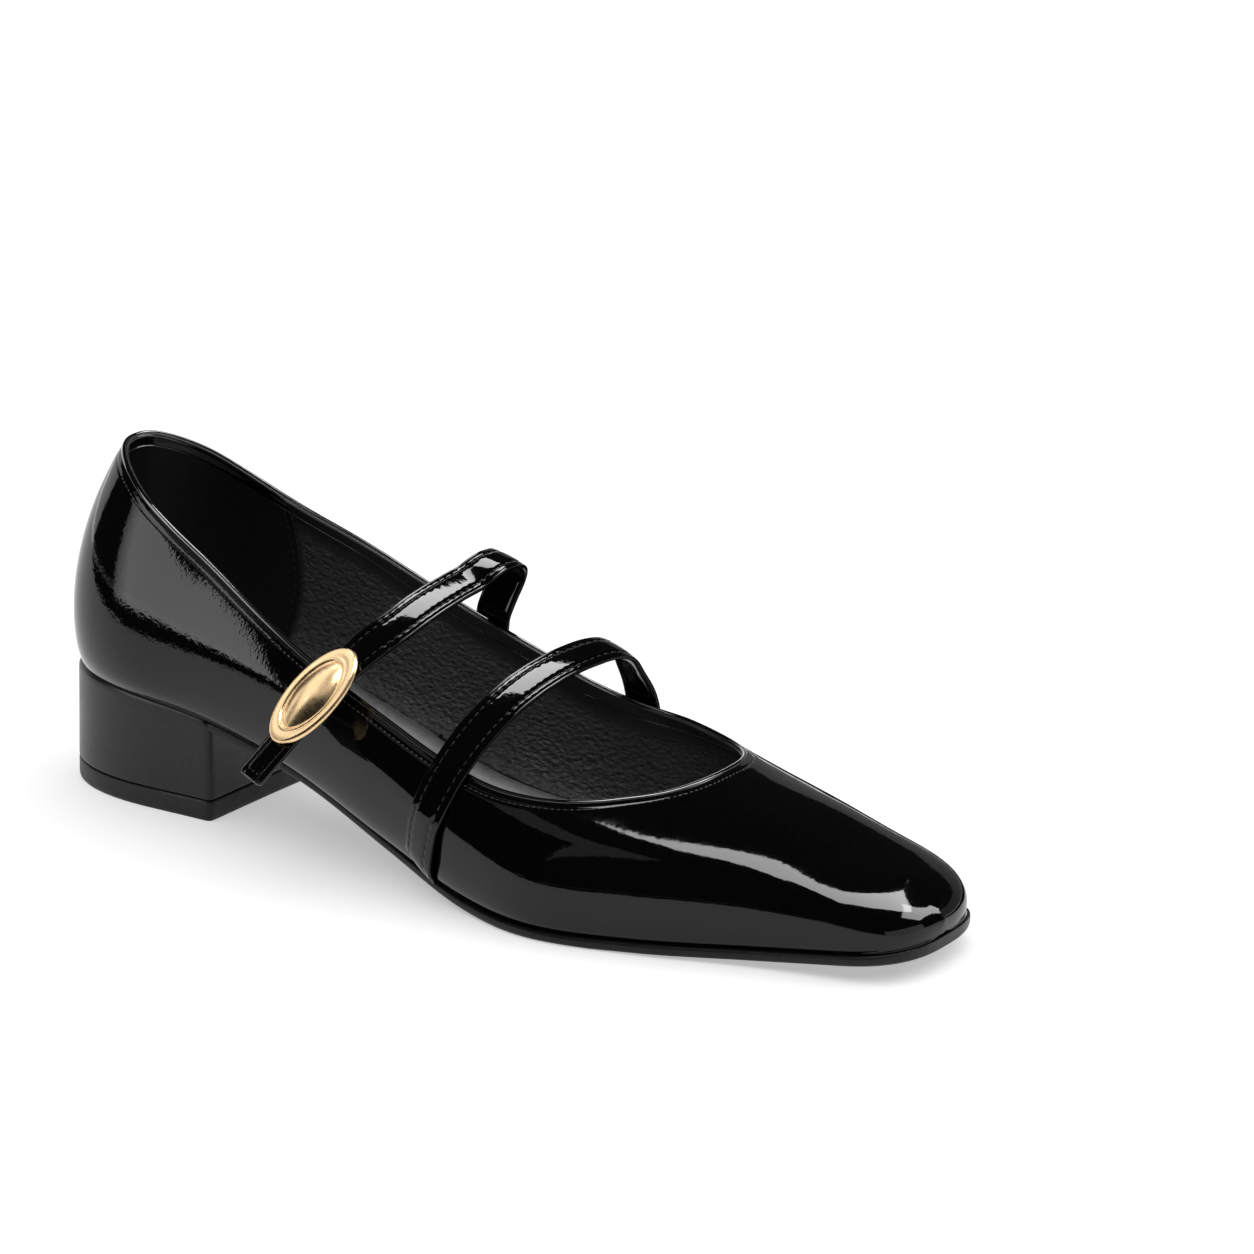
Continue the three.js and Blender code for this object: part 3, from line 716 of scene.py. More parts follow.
# ---------------------------------------------------------------- stitches
def stitch_points(centre, along, out, length, radius):
    """Points of capsule stitches, each bowed so that its ends dip into the leather."""
    rings, around = 7, 8
    t = np.linspace(-1, 1, rings)
    thickness = np.sqrt(np.maximum(1 - t ** 4, 0.04))
    side = np.cross(out, along)
    angle = np.arange(around) * 2 * np.pi / around
    dip = -0.9 * radius * t ** 4
    walk = (t * length / 2)[None, :, None]
    spine = centre[:, None] + along[:, None] * walk + out[:, None] * dip[None, :, None]
    twist = 1 + 0.08 * np.cos(3 * angle)
    ring = (side[:, None, None] * (np.cos(angle) * twist)[None, None, :, None]
            + out[:, None, None] * np.sin(angle)[None, None, :, None])
    points = spine[:, :, None] + ring * (radius * thickness)[None, :, None, None]
    faces = []
    for s in range(len(centre)):
        base = s * rings * around
        part = tube_faces(rings, around, False)
        faces += [tuple(base + v for v in face) for face in part]
    return points.reshape(-1, 3), faces


def stitch_row(line, out, pitch, length, radius, closed=False, phase=0.5, lift=0.0):
    """Stitches along a polyline of surface points with outward directions."""
    if closed:
        line = np.concatenate([line, line[:1]])
        out = np.concatenate([out, out[:1]])
    total = arc_length(line)[-1]
    count = max(int(round(total / pitch)), 1)
    at = (np.arange(count) + phase) * total / count
    centre = resample(line, line, at)
    ahead = resample(line, line, np.minimum(at + 0.4, total))
    along = unit(ahead - resample(line, line, np.maximum(at - 0.4, 0)))
    up = unit(resample(line, out, at))
    up = unit(up - (up * along).sum(-1, keepdims=True) * along)
    return stitch_points(centre + up * lift, along, up, length, radius)


def join(parts):
    points, faces, start = [], [], 0
    for p, f in parts:
        p = np.asarray(p).reshape(-1, 3)
        points.append(p)
        faces += [tuple(v + start for v in face) for face in f]
        start += len(p)
    return np.concatenate(points), faces


stitch_line = np.empty((COLUMNS, 3))
stitch_out = np.empty((COLUMNS, 3))
for i in range(COLUMNS):
    for k in range(3):
        stitch_line[i, k] = np.interp(STITCH_LINE, distance[:NEAR_ROWS, i], OUTER[:NEAR_ROWS, i, k])
        stitch_out[i, k] = np.interp(STITCH_LINE, distance[:NEAR_ROWS, i], NORMAL[:NEAR_ROWS, i, k])
COLLAR_STITCH = {"length": 1.15, "radius": 0.13, "lift": 0.02}
stitch_out = unit(stitch_out)
points, faces = stitch_row(stitch_line, stitch_out, STITCH_PITCH, closed=True, phase=0.0, **COLLAR_STITCH)
make_piece("collar_stitches", points, faces, THREAD)

# two rows of stitches beside each seam of the lining
LINING_STITCH = {"pitch": 2.3, "length": 1.6, "radius": 0.2, "lift": 0.05}
seam_parts = []
for columns_of_side in (range(20, FRONT // 2), range(COLUMNS - FRONT // 2, COLUMNS - 20)):
    cols = np.array(list(columns_of_side))
    for shift in SEAM_ROWS:
        line, outward = [], []
        for j in range(14, BASE.shape[0] - 3):
            gap = from_seam[j, cols] - shift
            order = np.argsort(gap)
            if gap.min() < 0 < gap.max() and distance[j, cols][np.abs(gap).argmin()] > 4:
                line.append([np.interp(0, gap[order], inner_face[j, cols, k][order]) for k in range(3)])
                outward.append([-np.interp(0, gap[order], NORMAL[j, cols, k][order]) for k in range(3)])
        if len(line) > 4:
            seam_parts.append(stitch_row(np.array(line), unit(np.array(outward)), **LINING_STITCH))
points, faces = join(seam_parts)
make_piece("lining_stitches", points, faces, THREAD)

# ---------------------------------------------------------------- footbed
BED_INSET = WALL + GAP + 0.9  # the padding stands clear of the lining
BOARD_INSET = WALL - 0.4  # the board runs into the walls
bed_phi = np.linspace(0, np.pi / 2, 50)
bed_x = np.concatenate([
    HEEL_ROUND * (1 - np.cos(bed_phi) ** (2 / HEEL_ROUNDNESS)),
    np.linspace(HEEL_ROUND, LENGTH - TOE_ROUND, 150)[1:],
    LENGTH - TOE_ROUND + TOE_ROUND * np.sin(bed_phi)[1:] ** (2 / TOE_SQUARENESS)])
EDGE = 0.9  # radius of the footbed's rolled edge
bed_shares = [0, -0.75, -1.0, -1.0, -1.0, -0.98, -0.9] + list(np.linspace(-0.8, 0.8, 41))
bed_shares += [0.9, 0.98, 1.0, 1.0, 1.0, 0.75]
# the board's rows, under the padding on each side, at their heights above the seat
last_row = len(bed_shares) - 1
board = {0: 0.1, 1: 0.1, 2: 0.1, 3: 0.9, last_row - 2: 0.9, last_row - 1: 0.1, last_row: 0.1}
bed_points = []
bed_seat = read_row(LAST, bed_x, "seat")
for k, share in enumerate(bed_shares):
    inset = BOARD_INSET if k in board else BED_INSET
    half_lateral = outline_y(bed_x, "lateral", -inset)
    half_medial = outline_y(bed_x, "medial", -inset)
    y = np.abs(half_lateral) * min(share, 0) + half_medial * max(share, 0)
    if k in board:
        z = bed_seat + board[k]
    else:
        edge = np.clip((1 - abs(share)) * np.abs(half_medial) / EDGE, 0, 1)
        z = bed_seat + INSOLE_THICK - EDGE + EDGE * np.sqrt(1 - (1 - edge) ** 2)
        z = z - 0.5 * (1 - share * share) * smoothstep(bed_x, 0, 30)
    fit = inset + bed_x * (1 - 2 * inset / LENGTH) + lean(bed_x, z)
    bed_points.append(np.stack([fit, y, z], -1))
bed_grid = np.array(bed_points).transpose(1, 0, 2)
bed_faces = tube_faces(len(bed_x), len(bed_shares), False)
# a band of painted sheen along the footbed's medial side, which lightens its colour
painted_sheen_band = np.exp(-(((np.array(bed_shares) - 0.66) / 0.13) ** 2)) + np.zeros((len(bed_x), 1))
make_piece("footbed", bed_grid, bed_faces, FOOTBED, ("insole",), {"painted_sheen_band": painted_sheen_band})

# ---------------------------------------------------------------- outsole
sole_x = np.concatenate([
    np.linspace(HEEL["breast"] + GAP, LENGTH - TOE_ROUND, 190),
    LENGTH - TOE_ROUND + TOE_ROUND * np.sin(bed_phi)[1:] ** (2 / TOE_SQUARENESS)])
stretch = 1 + (SOLE["forepart"] - 1) / LENGTH
sole_top = read_row(LAST, sole_x, "seat") - GAP
sole_bottom = np.maximum(sole_top - SOLE["thick"], 0)
sole_proud = SOLE["waist"] + (SOLE["forepart"] - SOLE["waist"]) * smoothstep(sole_x, 75, 140)
EDGE_PROFILE = [  # out from the sole's edge, share of the height
    (-2.2, 1.0), (-0.7, 1.0), (-0.35, 0.97), (-0.12, 0.88), (0, 0.74), (0, 0.5), (-0.05, 0.34),
    (-0.22, 0.2), (-0.5, 0.1), (-0.85, 0.04), (-1.3, 0.0)]
sole_rings = []
for out, share in EDGE_PROFILE:
    z = sole_bottom + (sole_top - sole_bottom) * share
    sole_rings.append(np.stack([sole_x * stretch, outline_y(sole_x, "lateral", sole_proud + out), z], -1))
under = np.linspace(-1, 1, 45)[1:-1]
RIB_DEPTH, RIB_PITCH = 0.35, 4.2
ribbed = smoothstep(sole_x, 146, 150) * (1 - smoothstep(sole_x, 214, 218))
ribs = RIB_DEPTH * (np.sin(sole_x * 2 * np.pi / RIB_PITCH) > 0.1) * ribbed
for t in under:
    y_lateral = outline_y(sole_x, "lateral", sole_proud - 1.3)
    y_medial = outline_y(sole_x, "medial", sole_proud - 1.3)
    y = y_lateral * (1 - t) / 2 + y_medial * (1 + t) / 2
    inside = 1 - smoothstep(abs(t), 0.72, 0.78)
    sole_rings.append(np.stack([sole_x * stretch, y, sole_bottom + ribs * inside], -1))
for out, share in EDGE_PROFILE[::-1]:
    z = sole_bottom + (sole_top - sole_bottom) * share
    sole_rings.append(np.stack([sole_x * stretch, outline_y(sole_x, "medial", sole_proud + out), z], -1))
sole_grid = np.array(sole_rings).transpose(1, 0, 2)
sole = make_piece("outsole_rubber", sole_grid, tube_faces(len(sole_x), sole_grid.shape[1], False),
                  SOLE_RUBBER, ("outsole",))
sharpen(sole, 50)


# ---------------------------------------------------------------- heel
def rounded_outline(inset, flare):
    """Closed plan of the heel with its breast corners rounded, evenly spaced."""
    curve = heel_outline(inset, flare)
    closed = np.concatenate([curve, curve[:1]])
    count = 340
    even = resample(closed, closed, np.linspace(0, arc_length(closed)[-1], count + 1)[:-1])
    return blur(even, 9, wrap=True)


def heel_block(name, levels, bottom, top_limit, material, node):
    """levels: rows of (share of the height, inset). The plan runs from the foot's to the seat's outline."""
    foot = rounded_outline(HEEL["taper"], HEEL["flare"])
    seat = rounded_outline(0, 0)
    rings = []
    centre = foot.mean(0)
    for share, inset in levels:
        top = top_limit if np.isscalar(top_limit) else read_row(LAST, np.maximum(foot[:, 0], 0), "seat") - GAP
        z = bottom + (top - bottom) * share
        mix = np.clip((z - HEEL["top_piece"]) / (45 - HEEL["top_piece"]), 0, 1)
        mix = np.broadcast_to(mix, (len(foot),))[:, None]
        plan = foot * (1 - mix) + seat * mix
        inward = unit(centre - plan)
        plan = plan + inward * inset
        rings.append(np.concatenate([plan, np.broadcast_to(z, (len(foot),))[:, None]], 1))
    grid = np.array(rings)
    return make_piece(name, grid, tube_faces(len(levels), len(foot), False), material, (node,))


HEEL_LEVELS = [(0, 1.0), (0, 0.25), (0.012, 0.07), (0.035, 0)] + [(s, 0) for s in np.linspace(0.08, 0.9, 26)]
HEEL_LEVELS += [(0.95, 0.05), (0.975, 0.3), (0.99, 0.8), (1, 1.6)]
block = heel_block("heel_block", HEEL_LEVELS, HEEL["top_piece"] + GAP, None, HEEL_COVER, "heel")
TIP_LEVELS = [(0, 1.2), (0, 0.5), (0.06, 0.22), (0.16, 0.06), (0.3, 0), (0.6, 0)]
TIP_LEVELS += [(0.88, 0), (0.96, 0.06), (1, 0.3), (1, 1.0)]
tip = heel_block("heel_tip", TIP_LEVELS, 0.0, HEEL["top_piece"], TOP_PIECE_RUBBER,
                 "heel_top_piece")
sharpen(tip, 40)


# ---------------------------------------------------------------- straps
def surface_at(x, turn):
    station = np.array(x, float)
    for _ in range(10):
        station = station + x - last_point(station, turn)[..., 0]
    return station, last_point(station, turn)


TUCK = 2.6  # how far the lasted ends sink into the upper


def strap_centre(rows, turn):
    station, point = surface_at(read_row(rows, turn, "at"), turn)
    along = last_point(station + 0.5, turn) - last_point(station - 0.5, turn)
    onward = last_point(station, np.minimum(turn + 0.004, 1))
    around = onward - last_point(station, np.maximum(turn - 0.004, -1))
    normal = unit(np.cross(along, around))
    normal[..., 2] = np.maximum(normal[..., 2], 0)
    normal = unit(normal)
    tucked = TUCK * smoothstep(np.abs(turn), 0.87, 0.96)
    return point + normal * (STRAP_LIFT + read_row(rows, turn, "lift") - tucked)[..., None], normal


def strap_frame(rows, turn, straight=0.89):
    point, normal = strap_centre(rows, turn)
    steady = np.clip(turn, -straight, straight)
    along = unit(strap_centre(rows, steady + 0.01)[0] - strap_centre(rows, steady - 0.01)[0])
    across = unit(np.cross(along, normal))
    return np.concatenate([point, along, across, np.cross(across, along)], -1)


def even_frames(frames, spacing, rounds):
    """Frames (point, along, across, out) at even spacing, smoothed."""
    frames = blur(frames, rounds)
    total = arc_length(frames[:, :3])[-1]
    count = int(total / spacing)
    even = resample(frames[:, :3], frames, np.linspace(0, total, count + 1))
    point = even[:, :3]
    along = unit(np.gradient(point, axis=0))
    across = unit(even[:, 6:9] - (even[:, 6:9] * along).sum(-1, keepdims=True) * along)
    return point, along, across, np.cross(across, along)


TAIL_MIDDLE = np.array([94, -35.4, 43.5])
TAIL_ALONG = unit(np.array([-0.35, -0.63, -0.698]))
TAIL_ACROSS = np.array([0.914, -0.392, -0.105])
TAIL_ACROSS = unit(TAIL_ACROSS - TAIL_ALONG * (TAIL_ACROSS @ TAIL_ALONG))
TAIL_OUT = -np.cross(TAIL_ACROSS, TAIL_ALONG)
TAIL_START, TAIL_END = -5.0, 24.9


def strap_section():
    """Half section from the middle of the top out and round to the middle of the bottom: (across, height)."""
    half = STRAP_WIDTH / 2
    crown = [(0, 1.58), (0.8, 1.575), (1.5, 1.56), (2.0, 1.53), (2.35, 1.47)]
    channel = [(2.6, 1.36), (2.75, 1.27), (2.85, 1.25), (2.95, 1.27), (3.1, 1.35)]
    fold = [(3.3, 1.4), (3.6, 1.38), (3.9, 1.33), (4.15, 1.28)]
    fold += [(4.3, 1.24), (4.42, 1.26), (4.55, 1.27), (4.68, 1.2)]
    side = [(half - 0.1, 0.95), (half, 0.72), (half - 0.05, 0.45), (half - 0.2, 0.2), (half - 0.5, 0.04)]
    bottom = [(3.9, 0.0), (3.4, 0.12), (3.0, 0.2), (2.0, 0.22), (1.0, 0.2), (0, 0.2)]
    right = np.array(crown + channel + fold + side + bottom)
    left = right[-2:0:-1] * [-1, 1]
    return np.concatenate([right, left])


STRAP_STITCH = {"pitch": 2.45, "length": 1.7, "radius": 0.16}
END_STITCH = {"pitch": 1.9, "length": 1.3, "radius": 0.16}
STITCH_OUT = 2.85  # the strap's stitch lines, from its middle
END_ROW = 2.1  # the row across the free end, from that end


def make_strap(name, frames, node, tail):
    point, along, across, out = even_frames(frames, 0.42, 6)
    section = strap_section()
    walked = arc_length(point)
    count = len(point)
    profile = np.broadcast_to(section, (count,) + section.shape).copy()
    pitch = STRAP_STITCH["pitch"]
    # the leather between the stitches puckers, and the fold's edge wavers a little
    wave = np.cos(2 * np.pi * walked / pitch)[:, None]
    near_line = np.exp(-(((np.abs(section[:, 0]) - 2.8) / 0.75) ** 2)) * (section[:, 1] > 0.8)
    profile[..., 1] += 0.035 * wave * near_line[None]
    waver = 0.03 * np.sin(walked / 3.1) + 0.02 * np.sin(walked / 1.35 + 1)
    profile[..., 0] += waver[:, None] * np.sign(section[:, 0]) * (np.abs(section[:, 0]) > 3.3)
    if tail:  # rounded corners and a folded edge at the free end
        corner = 1.3
        near_end = np.clip(walked / corner, 0, 1)
        narrow = 1 - (1 - np.sqrt(1 - (1 - near_end) ** 2)) * (corner / (STRAP_WIDTH / 2))
        profile[..., 0] *= narrow[:, None]
        flat = np.sqrt(1 - (1 - np.clip(walked / 0.7, 0, 1)) ** 2)
        profile[..., 1] = 0.7 + (profile[..., 1] - 0.7) * (0.45 + 0.55 * flat)[:, None]
        fold = -0.3 * np.exp(-(((walked - END_ROW) / 0.35) ** 2))
        profile[..., 1] += fold[:, None] * ((section[:, 1] > 1.0) & (np.abs(section[:, 0]) < 3.1))[None]
    swept = sweep(profile, point, across, out)
    make_piece(name, swept, tube_faces(count, len(section), False), PATENT_STRAP, (node,))
    parts = []
    line_from = 5 if tail else 2
    for side in (-1, 1):
        line = point + across * side * STITCH_OUT + out * 1.29
        parts.append(stitch_row(line[line_from:-2], out[line_from:-2], **STRAP_STITCH))
    if tail:  # a row across the free end
        at = int(np.argmin(np.abs(walked - END_ROW)))
        places = np.linspace(-2.8, 2.8, 12)[:, None]
        across_line = point[at] + across[at] * places + out[at] * 1.25
        parts.append(stitch_row(across_line, np.repeat(out[at][None], len(places), 0), **END_STITCH))
    points, faces = join(parts)
    make_piece(name + "_stitches", points, faces, THREAD)


FOOT = 0.985  # the lasted ends are tucked in above the sole
turns = np.linspace(-0.97, FOOT, 500)
make_strap("strap_front_patent", strap_frame(STRAP_FRONT, turns), "strap_front", False)
turns = np.linspace(-0.36, FOOT, 380)
arch = strap_frame(STRAP_REAR, turns)
tail_at = np.linspace(TAIL_END, TAIL_START, 60)
tail_axes = np.concatenate([-TAIL_ALONG, TAIL_ACROSS, TAIL_OUT])
tail = np.stack([np.concatenate([TAIL_MIDDLE + TAIL_ALONG * d, tail_axes]) for d in tail_at])
arch_first = arch[0]
# a cubic Hermite carries the strap from the tail's straight run onto the arch
bridge_t = np.linspace(0, 1, 40)[1:-1, None]
reach = np.linalg.norm(arch_first[:3] - tail[-1, :3])
h00, h10 = 2 * bridge_t ** 3 - 3 * bridge_t ** 2 + 1, bridge_t ** 3 - 2 * bridge_t ** 2 + bridge_t
h01, h11 = -2 * bridge_t ** 3 + 3 * bridge_t ** 2, bridge_t ** 3 - bridge_t ** 2
bridge_points = (h00 * tail[-1, :3] + h10 * reach * tail[-1, 3:6]
                 + h01 * arch_first[:3] + h11 * reach * arch_first[3:6])
# both frames have 'across' the same way round once the tail's is compared with the arch's
if tail[-1, 6:9] @ arch_first[6:9] < 0:
    tail[:, 6:9] *= -1
if tail[-1, 9:] @ arch_first[9:] < 0:
    tail[:, 9:] *= -1
bridge_rest = tail[-1, 3:] * (1 - bridge_t) + arch_first[3:] * bridge_t
frames = np.concatenate([tail, np.concatenate([bridge_points, bridge_rest], 1), arch])
make_strap("strap_rear_patent", frames, "strap_rear", True)

# ---------------------------------------------------------------- buckle
BUCKLE_HALF_LENGTH = 14.3
BUCKLE_HALF_WIDTH = 9.2
# x: share of the way out from the middle to the oval's edge. height: above the underside
BUCKLE_SECTION = table(
    ["x", "height"],
    [0.70, 1.15], [0.712, 1.2], [0.725, 1.38], [0.74, 1.52], [0.757, 1.52], [0.775, 1.42], [0.79, 1.38],
    [0.87, 1.5], [0.93, 1.44], [0.965, 1.28], [0.99, 0.92], [1.0, 0.55])
AROUND = 220
angle = np.arange(AROUND) * 2 * np.pi / AROUND
oval = np.stack([np.cos(angle) * BUCKLE_HALF_LENGTH, np.sin(angle) * BUCKLE_HALF_WIDTH], -1)
dome_half_length, dome_half_width, dome_power = 9.75, 6.0, 1.8
c, s = np.abs(np.cos(angle)), np.abs(np.sin(angle))
dome_radius = (c ** dome_power + s ** dome_power) ** (-1 / dome_power)
dome_oval = np.stack([np.cos(angle) * dome_half_length, np.sin(angle) * dome_half_width], -1)
dome_edge = dome_oval * dome_radius[:, None]
buckle_rings = []
for share in np.linspace(0.0, 1, 30)[1:]:
    height = 1.15 + 2.25 * (1 - share ** 2.0) ** 0.8
    buckle_rings.append(np.concatenate([dome_edge * share, np.full((AROUND, 1), height)], 1))
hollow_edge = oval * 0.70
for t in np.linspace(0, 1, 6)[1:]:
    mix = dome_edge * (1 - t) + hollow_edge * t
    buckle_rings.append(np.concatenate([mix, np.full((AROUND, 1), 1.15 - 0.1 * math.sin(math.pi * t))], 1))
for share in np.concatenate([np.linspace(0.703, 0.82, 30), np.linspace(0.83, 1.0, 22)]):
    height = float(read_row(BUCKLE_SECTION, share, "height"))
    buckle_rings.append(np.concatenate([oval * share, np.full((AROUND, 1), height)], 1))
for share, height in ((0.995, 0.25), (0.97, 0.05), (0.93, 0.0), (0.6, 0.0), (0.2, 0.0)):
    buckle_rings.append(np.concatenate([oval * share, np.full((AROUND, 1), height)], 1))
rings = np.array(buckle_rings)


def place(local):
    """From the buckle's own axes to the last's."""
    axes = np.array([TAIL_ALONG, TAIL_ACROSS, TAIL_OUT])
    return TAIL_MIDDLE + TAIL_OUT * (STRAP_THICK + GAP) + local @ axes


def rounded_box(centre, size, radius):
    """Box with rounded edges, in the buckle's own axes."""
    edit = bmesh.new()
    bmesh.ops.create_cube(edit, size=1)
    bmesh.ops.scale(edit, vec=Vector(size), verts=edit.verts)
    bmesh.ops.bevel(edit, geom=edit.edges[:], offset=radius, segments=3, profile=0.5, affect="EDGES")
    edit.verts.ensure_lookup_table()
    points = np.array([v.co for v in edit.verts]) + centre
    faces = [tuple(v.index for v in face.verts) for face in edit.faces]
    edit.free()
    return place(points), faces


DROP = STRAP_THICK + 2 * GAP  # from the buckle's underside to the keeper's bar
KEEPER = 3  # the keeper's place along the buckle, and its width
plate_faces = tube_faces(len(rings), AROUND, False)
make_piece("buckle_gilt", place(rings), plate_faces, GOLD, ("buckle",))
parts = []
for side in (-1, 1):
    post = (KEEPER, side * (STRAP_WIDTH / 2 + GAP + 0.3), 0.4 - (DROP + 1) / 2)
    parts.append(rounded_box(post, (KEEPER, 0.6, DROP + 1.8), 0.25))
parts.append(rounded_box((KEEPER, 0, -DROP - 0.5), (KEEPER, STRAP_WIDTH + 2 * GAP + 1.2, 1), 0.25))
points, faces = join(parts)
make_piece("buckle_keeper", points, faces, PATENT_EDGE)

# ---------------------------------------------------------------- camera
def direction(azimuth, elevation):
    """Azimuth 0 looks from the shoe to the lateral side, 90 to the toe."""
    a, e = math.radians(azimuth), math.radians(elevation)
    return np.array([math.sin(a) * math.cos(e), -math.cos(a) * math.cos(e), math.sin(e)])


CENTRE = np.array([125.0, 0.0, 35.0])
AZIMUTH, ELEVATION = 34.5, 19.0
DISTANCE = 1300  # millimetres from the centre
ROLL = math.radians(0.75)
AIM = (0.0216, 0.0176)  # right and up: the shoe stands left of and below the middle of the picture
TO_CAMERA = direction(AZIMUTH, ELEVATION)
level_right = direction(AZIMUTH + 90, 0)
level_up = np.cross(TO_CAMERA, level_right)
right = math.cos(ROLL) * level_right + math.sin(ROLL) * level_up
up = -math.sin(ROLL) * level_right + math.cos(ROLL) * level_up
forward = unit(-TO_CAMERA + AIM[0] * right + AIM[1] * up)
right = unit(right - forward * (right @ forward))
up = np.cross(right, forward)
eye = (CENTRE + OFFSET + DISTANCE * TO_CAMERA) / 1000
camera_data = bpy.data.cameras.new("camera")
camera_data.sensor_width = 36
camera_data.lens = 154.8
camera_data.clip_end = 50
camera = bpy.data.objects.new("camera", camera_data)
camera.matrix_world = Matrix((
    (right[0], up[0], -forward[0], eye[0]), (right[1], up[1], -forward[1], eye[1]),
    (right[2], up[2], -forward[2], eye[2]), (0, 0, 0, 1)))
bpy.context.scene.collection.objects.link(camera)
bpy.context.scene.camera = camera


# ---------------------------------------------------------------- studio
floor_mesh = bpy.data.meshes.new("floor")
reach = 9.0
floor_corners = [(-reach, -reach, 0), (reach, -reach, 0), (reach, reach, 0), (-reach, reach, 0)]
floor_mesh.from_pydata(floor_corners, [], [(0, 1, 2, 3)])
floor = bpy.data.objects.new("floor", floor_mesh)
bpy.context.scene.collection.objects.link(floor)
n = Nodes("floor_white")
n.set(Roughness=0.7, Specular_IOR_Level=0.1, Emission_Color=(1, 1, 1, 1), Emission_Strength=0.45)
n.paint("Base Color", n.colours(n.noise(3, 2), (0.79, 0.79, 0.79), (0.81, 0.81, 0.81)))
floor_mesh.materials.append(n.material)


def card(name, target, azimuth, elevation, distance, width, height, radiance, fade=None, receivers=None):
    """Rectangular light facing a target (last's millimetres), seen only in reflections.
    fade: axis across the card, share of the radiance where it starts, and where it starts and ends, 0 to 1.
    receivers: the pieces that it lights."""
    light = bpy.data.lights.new(name, "AREA")
    light.shape = "RECTANGLE"
    light.size = width
    light.size_y = height
    light.energy = radiance * math.pi * width * height
    if fade:
        light.use_nodes = True
        lamp_tree = light.node_tree
        emission = lamp_tree.nodes["Emission"]
        place_on_card = lamp_tree.nodes.new("ShaderNodeNewGeometry").outputs["Parametric"]
        split = lamp_tree.nodes.new("ShaderNodeSeparateXYZ")
        lamp_tree.links.new(place_on_card, split.inputs["Vector"])
        share = lamp_tree.nodes.new("ShaderNodeMapRange")
        axis, start, from_min, from_max = fade
        share.inputs["From Min"].default_value = from_min
        share.inputs["From Max"].default_value = from_max
        share.inputs["To Min"].default_value = start
        share.inputs["To Max"].default_value = 1.0
        lamp_tree.links.new(split.outputs[axis], share.inputs["Value"])
        lamp_tree.links.new(share.outputs["Result"], emission.inputs["Strength"])
    lamp = bpy.data.objects.new(name, light)
    facing = direction(azimuth, elevation)
    lamp.location = Vector((np.array(target) + OFFSET) / 1000 + facing * distance)
    lamp.rotation_euler = Vector(facing).to_track_quat("Z", "Y").to_euler()
    lamp.visible_camera = False
    lamp.visible_diffuse = False
    bpy.context.scene.collection.objects.link(lamp)
    if receivers:
        lamp.light_linking.receiver_collection = receivers
    return lamp


def linked(name, chosen, state):
    """Collection of pieces for light linking, each included or excluded."""
    group = bpy.data.collections.new(name)
    for piece in chosen:
        group.objects.link(piece)
    for entry in group.collection_objects:
        entry.light_linking.link_state = state
    return group


STRAPS = [piece for piece in ALL_PIECES if piece.name.startswith("strap_")]
METAL = [piece for piece in ALL_PIECES if piece.name == "buckle_gilt"]
not_floor = linked("all_but_floor", [floor], "EXCLUDE")
not_straps = linked("all_but_floor_and_straps", [floor] + STRAPS, "EXCLUDE")
only_straps = linked("only_straps", STRAPS, "INCLUDE")
only_metal = linked("only_metal", METAL, "INCLUDE")

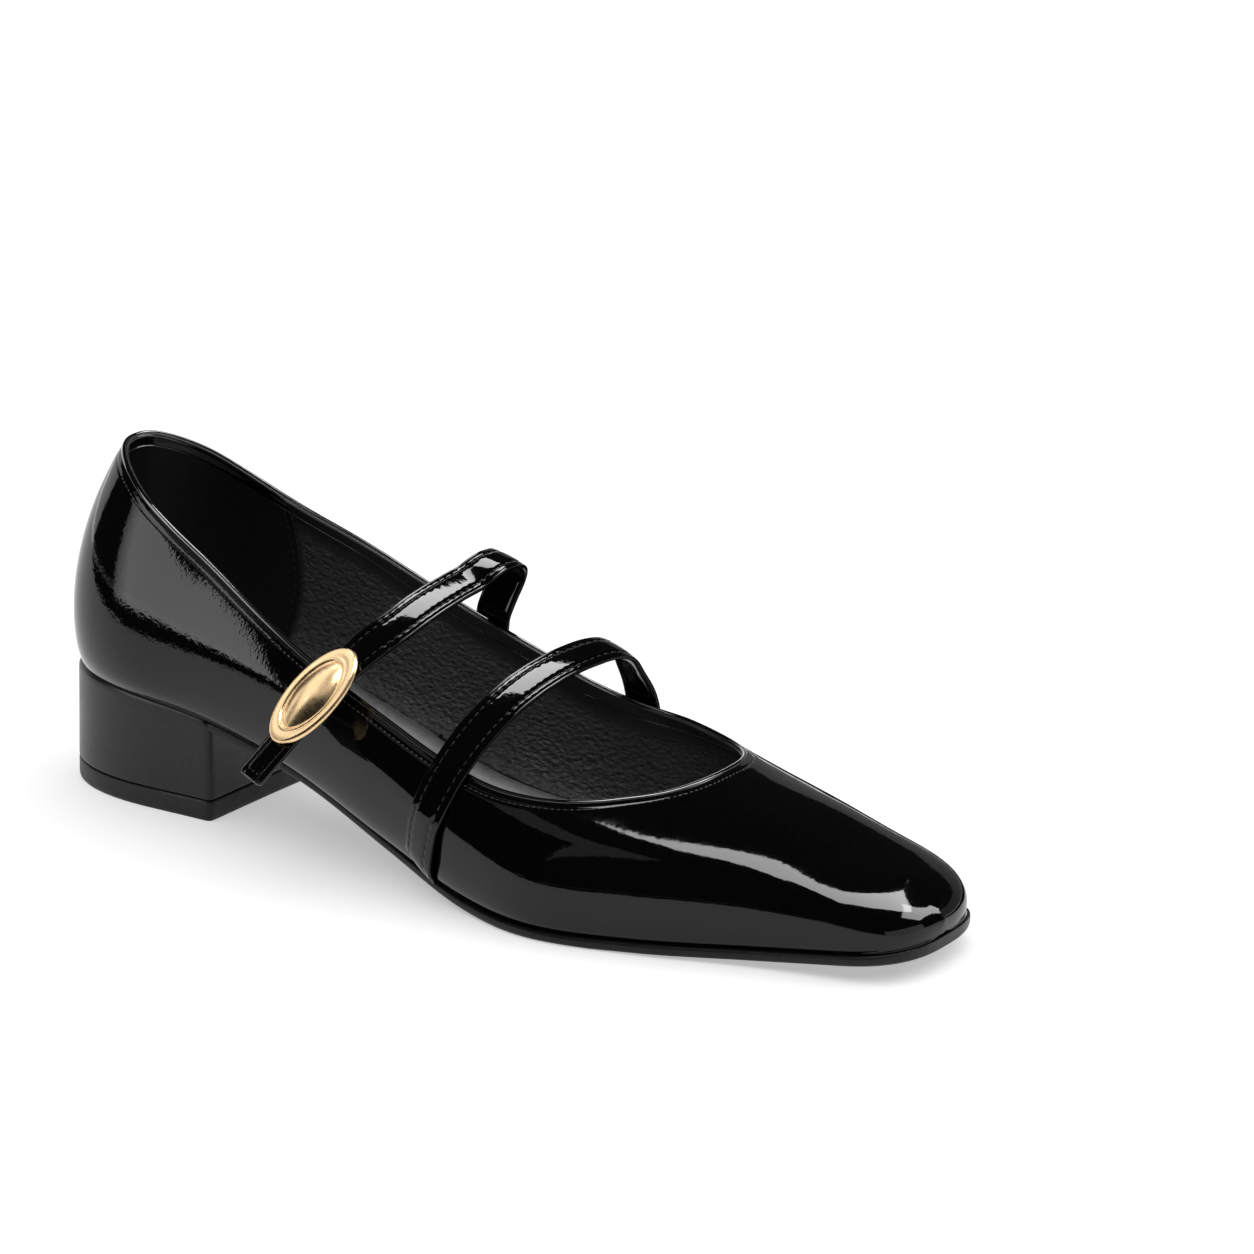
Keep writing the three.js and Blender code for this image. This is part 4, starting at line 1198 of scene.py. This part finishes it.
HEEL_SPOT = (40, -25, 65)
VAMP_SPOT = (200, -20, 20)
CARDS = [  # name, target, azimuth, elevation, distance, width, height, radiance, fade, receivers
    ("card_patch", HEEL_SPOT, -33.7, 15, 0.9, 0.61, 0.96, 3.4, ("X", 0.3, 0.0, 0.3), None),
    ("card_left", HEEL_SPOT, -119, 5, 1.6, 1.9, 1.15, 1.05, None, None),
    ("card_rear", (125, 0, 0), 180, 10, 2.6, 4.0, 1.1, 0.2, None, None),
    ("card_toe", (230, 0, 15), 92, 7, 2.0, 2.3, 0.75, 0.9, None, None),
    ("card_smear", VAMP_SPOT, -26, 46, 1.2, 0.40, 0.75, 0.4, None, not_straps),
    ("card_vamp", VAMP_SPOT, 158, 72, 1.25, 0.4, 1.4, 11, None, not_straps),
    ("card_tip", VAMP_SPOT, 142, 38, 1.9, 0.8, 0.7, 8, None, not_straps),
    ("card_straps", (115, -2, 52), -160, 61, 0.8, 0.30, 0.27, 12, None, only_straps),
    ("card_buckle", (94, -35, 46), -83, 46, 0.6, 0.62, 0.36, 1.0, None, only_metal),
    ("card_buckle_fill", (94, -35, 46), -40, 35, 0.5, 1.6, 1.2, 0.3, None, only_metal),
    ("card_buckle_streak", (94, -35, 46), -135, 52, 0.6, 0.25, 0.4, 1.6, None, only_metal),
]
for *placing, receivers in CARDS:
    card(*placing, receivers or not_floor)

sun = bpy.data.lights.new("fill", "SUN")
sun.energy = 2.9
sun.angle = math.radians(110)
fill = bpy.data.objects.new("fill", sun)
fill.rotation_euler = (math.radians(-8), math.radians(6), 0)
fill.visible_glossy = False
bpy.context.scene.collection.objects.link(fill)

world = bpy.data.worlds.new("studio")
world.use_nodes = True
tree = world.node_tree
background = tree.nodes["Background"]
background.inputs["Color"].default_value = (1, 1, 1, 1)
rays = tree.nodes.new("ShaderNodeLightPath")
level = tree.nodes.new("ShaderNodeMapRange")
level.inputs["To Min"].default_value = 0.02
level.inputs["To Max"].default_value = 0.98
tree.links.new(rays.outputs["Is Camera Ray"], level.inputs["Value"])
tree.links.new(level.outputs["Result"], background.inputs["Strength"])
bpy.context.scene.world = world

# dark boards, seen only in reflections, each a plain rectangle: lowest and highest corner in millimetres
FLAGS = {
    "flag_floor": ((-3000, -3000, 1.5), (900, -220, 1.5)),
    "flag_side": ((-118, -105, 15), (22, -105, 150)),
    "flag_medial": ((-100, 85, 1.5), (250, 900, 1.5)),
}
black = Nodes("flag_black")
black.set(Roughness=0.9, Specular_IOR_Level=0.0)
black.paint("Base Color", black.colours(black.noise(3, 2), (0.01, 0.01, 0.01), (0.012, 0.012, 0.012)))
flags = []
for name, (low, high) in FLAGS.items():
    mesh = bpy.data.meshes.new(name)
    corners = np.array([low, (high[0], low[1], low[2]), high, (low[0], high[1], high[2])]) / 1000
    mesh.from_pydata(corners.tolist(), [], [(0, 1, 2, 3)])
    mesh.materials.append(black.material)
    flag = bpy.data.objects.new(name, mesh)
    bpy.context.scene.collection.objects.link(flag)
    flag.visible_camera = False
    flag.visible_diffuse = False
    flags.append(flag)
fill.light_linking.blocker_collection = linked("not_flags", flags, "EXCLUDE")

bpy.context.scene.view_settings.view_transform = "Standard"
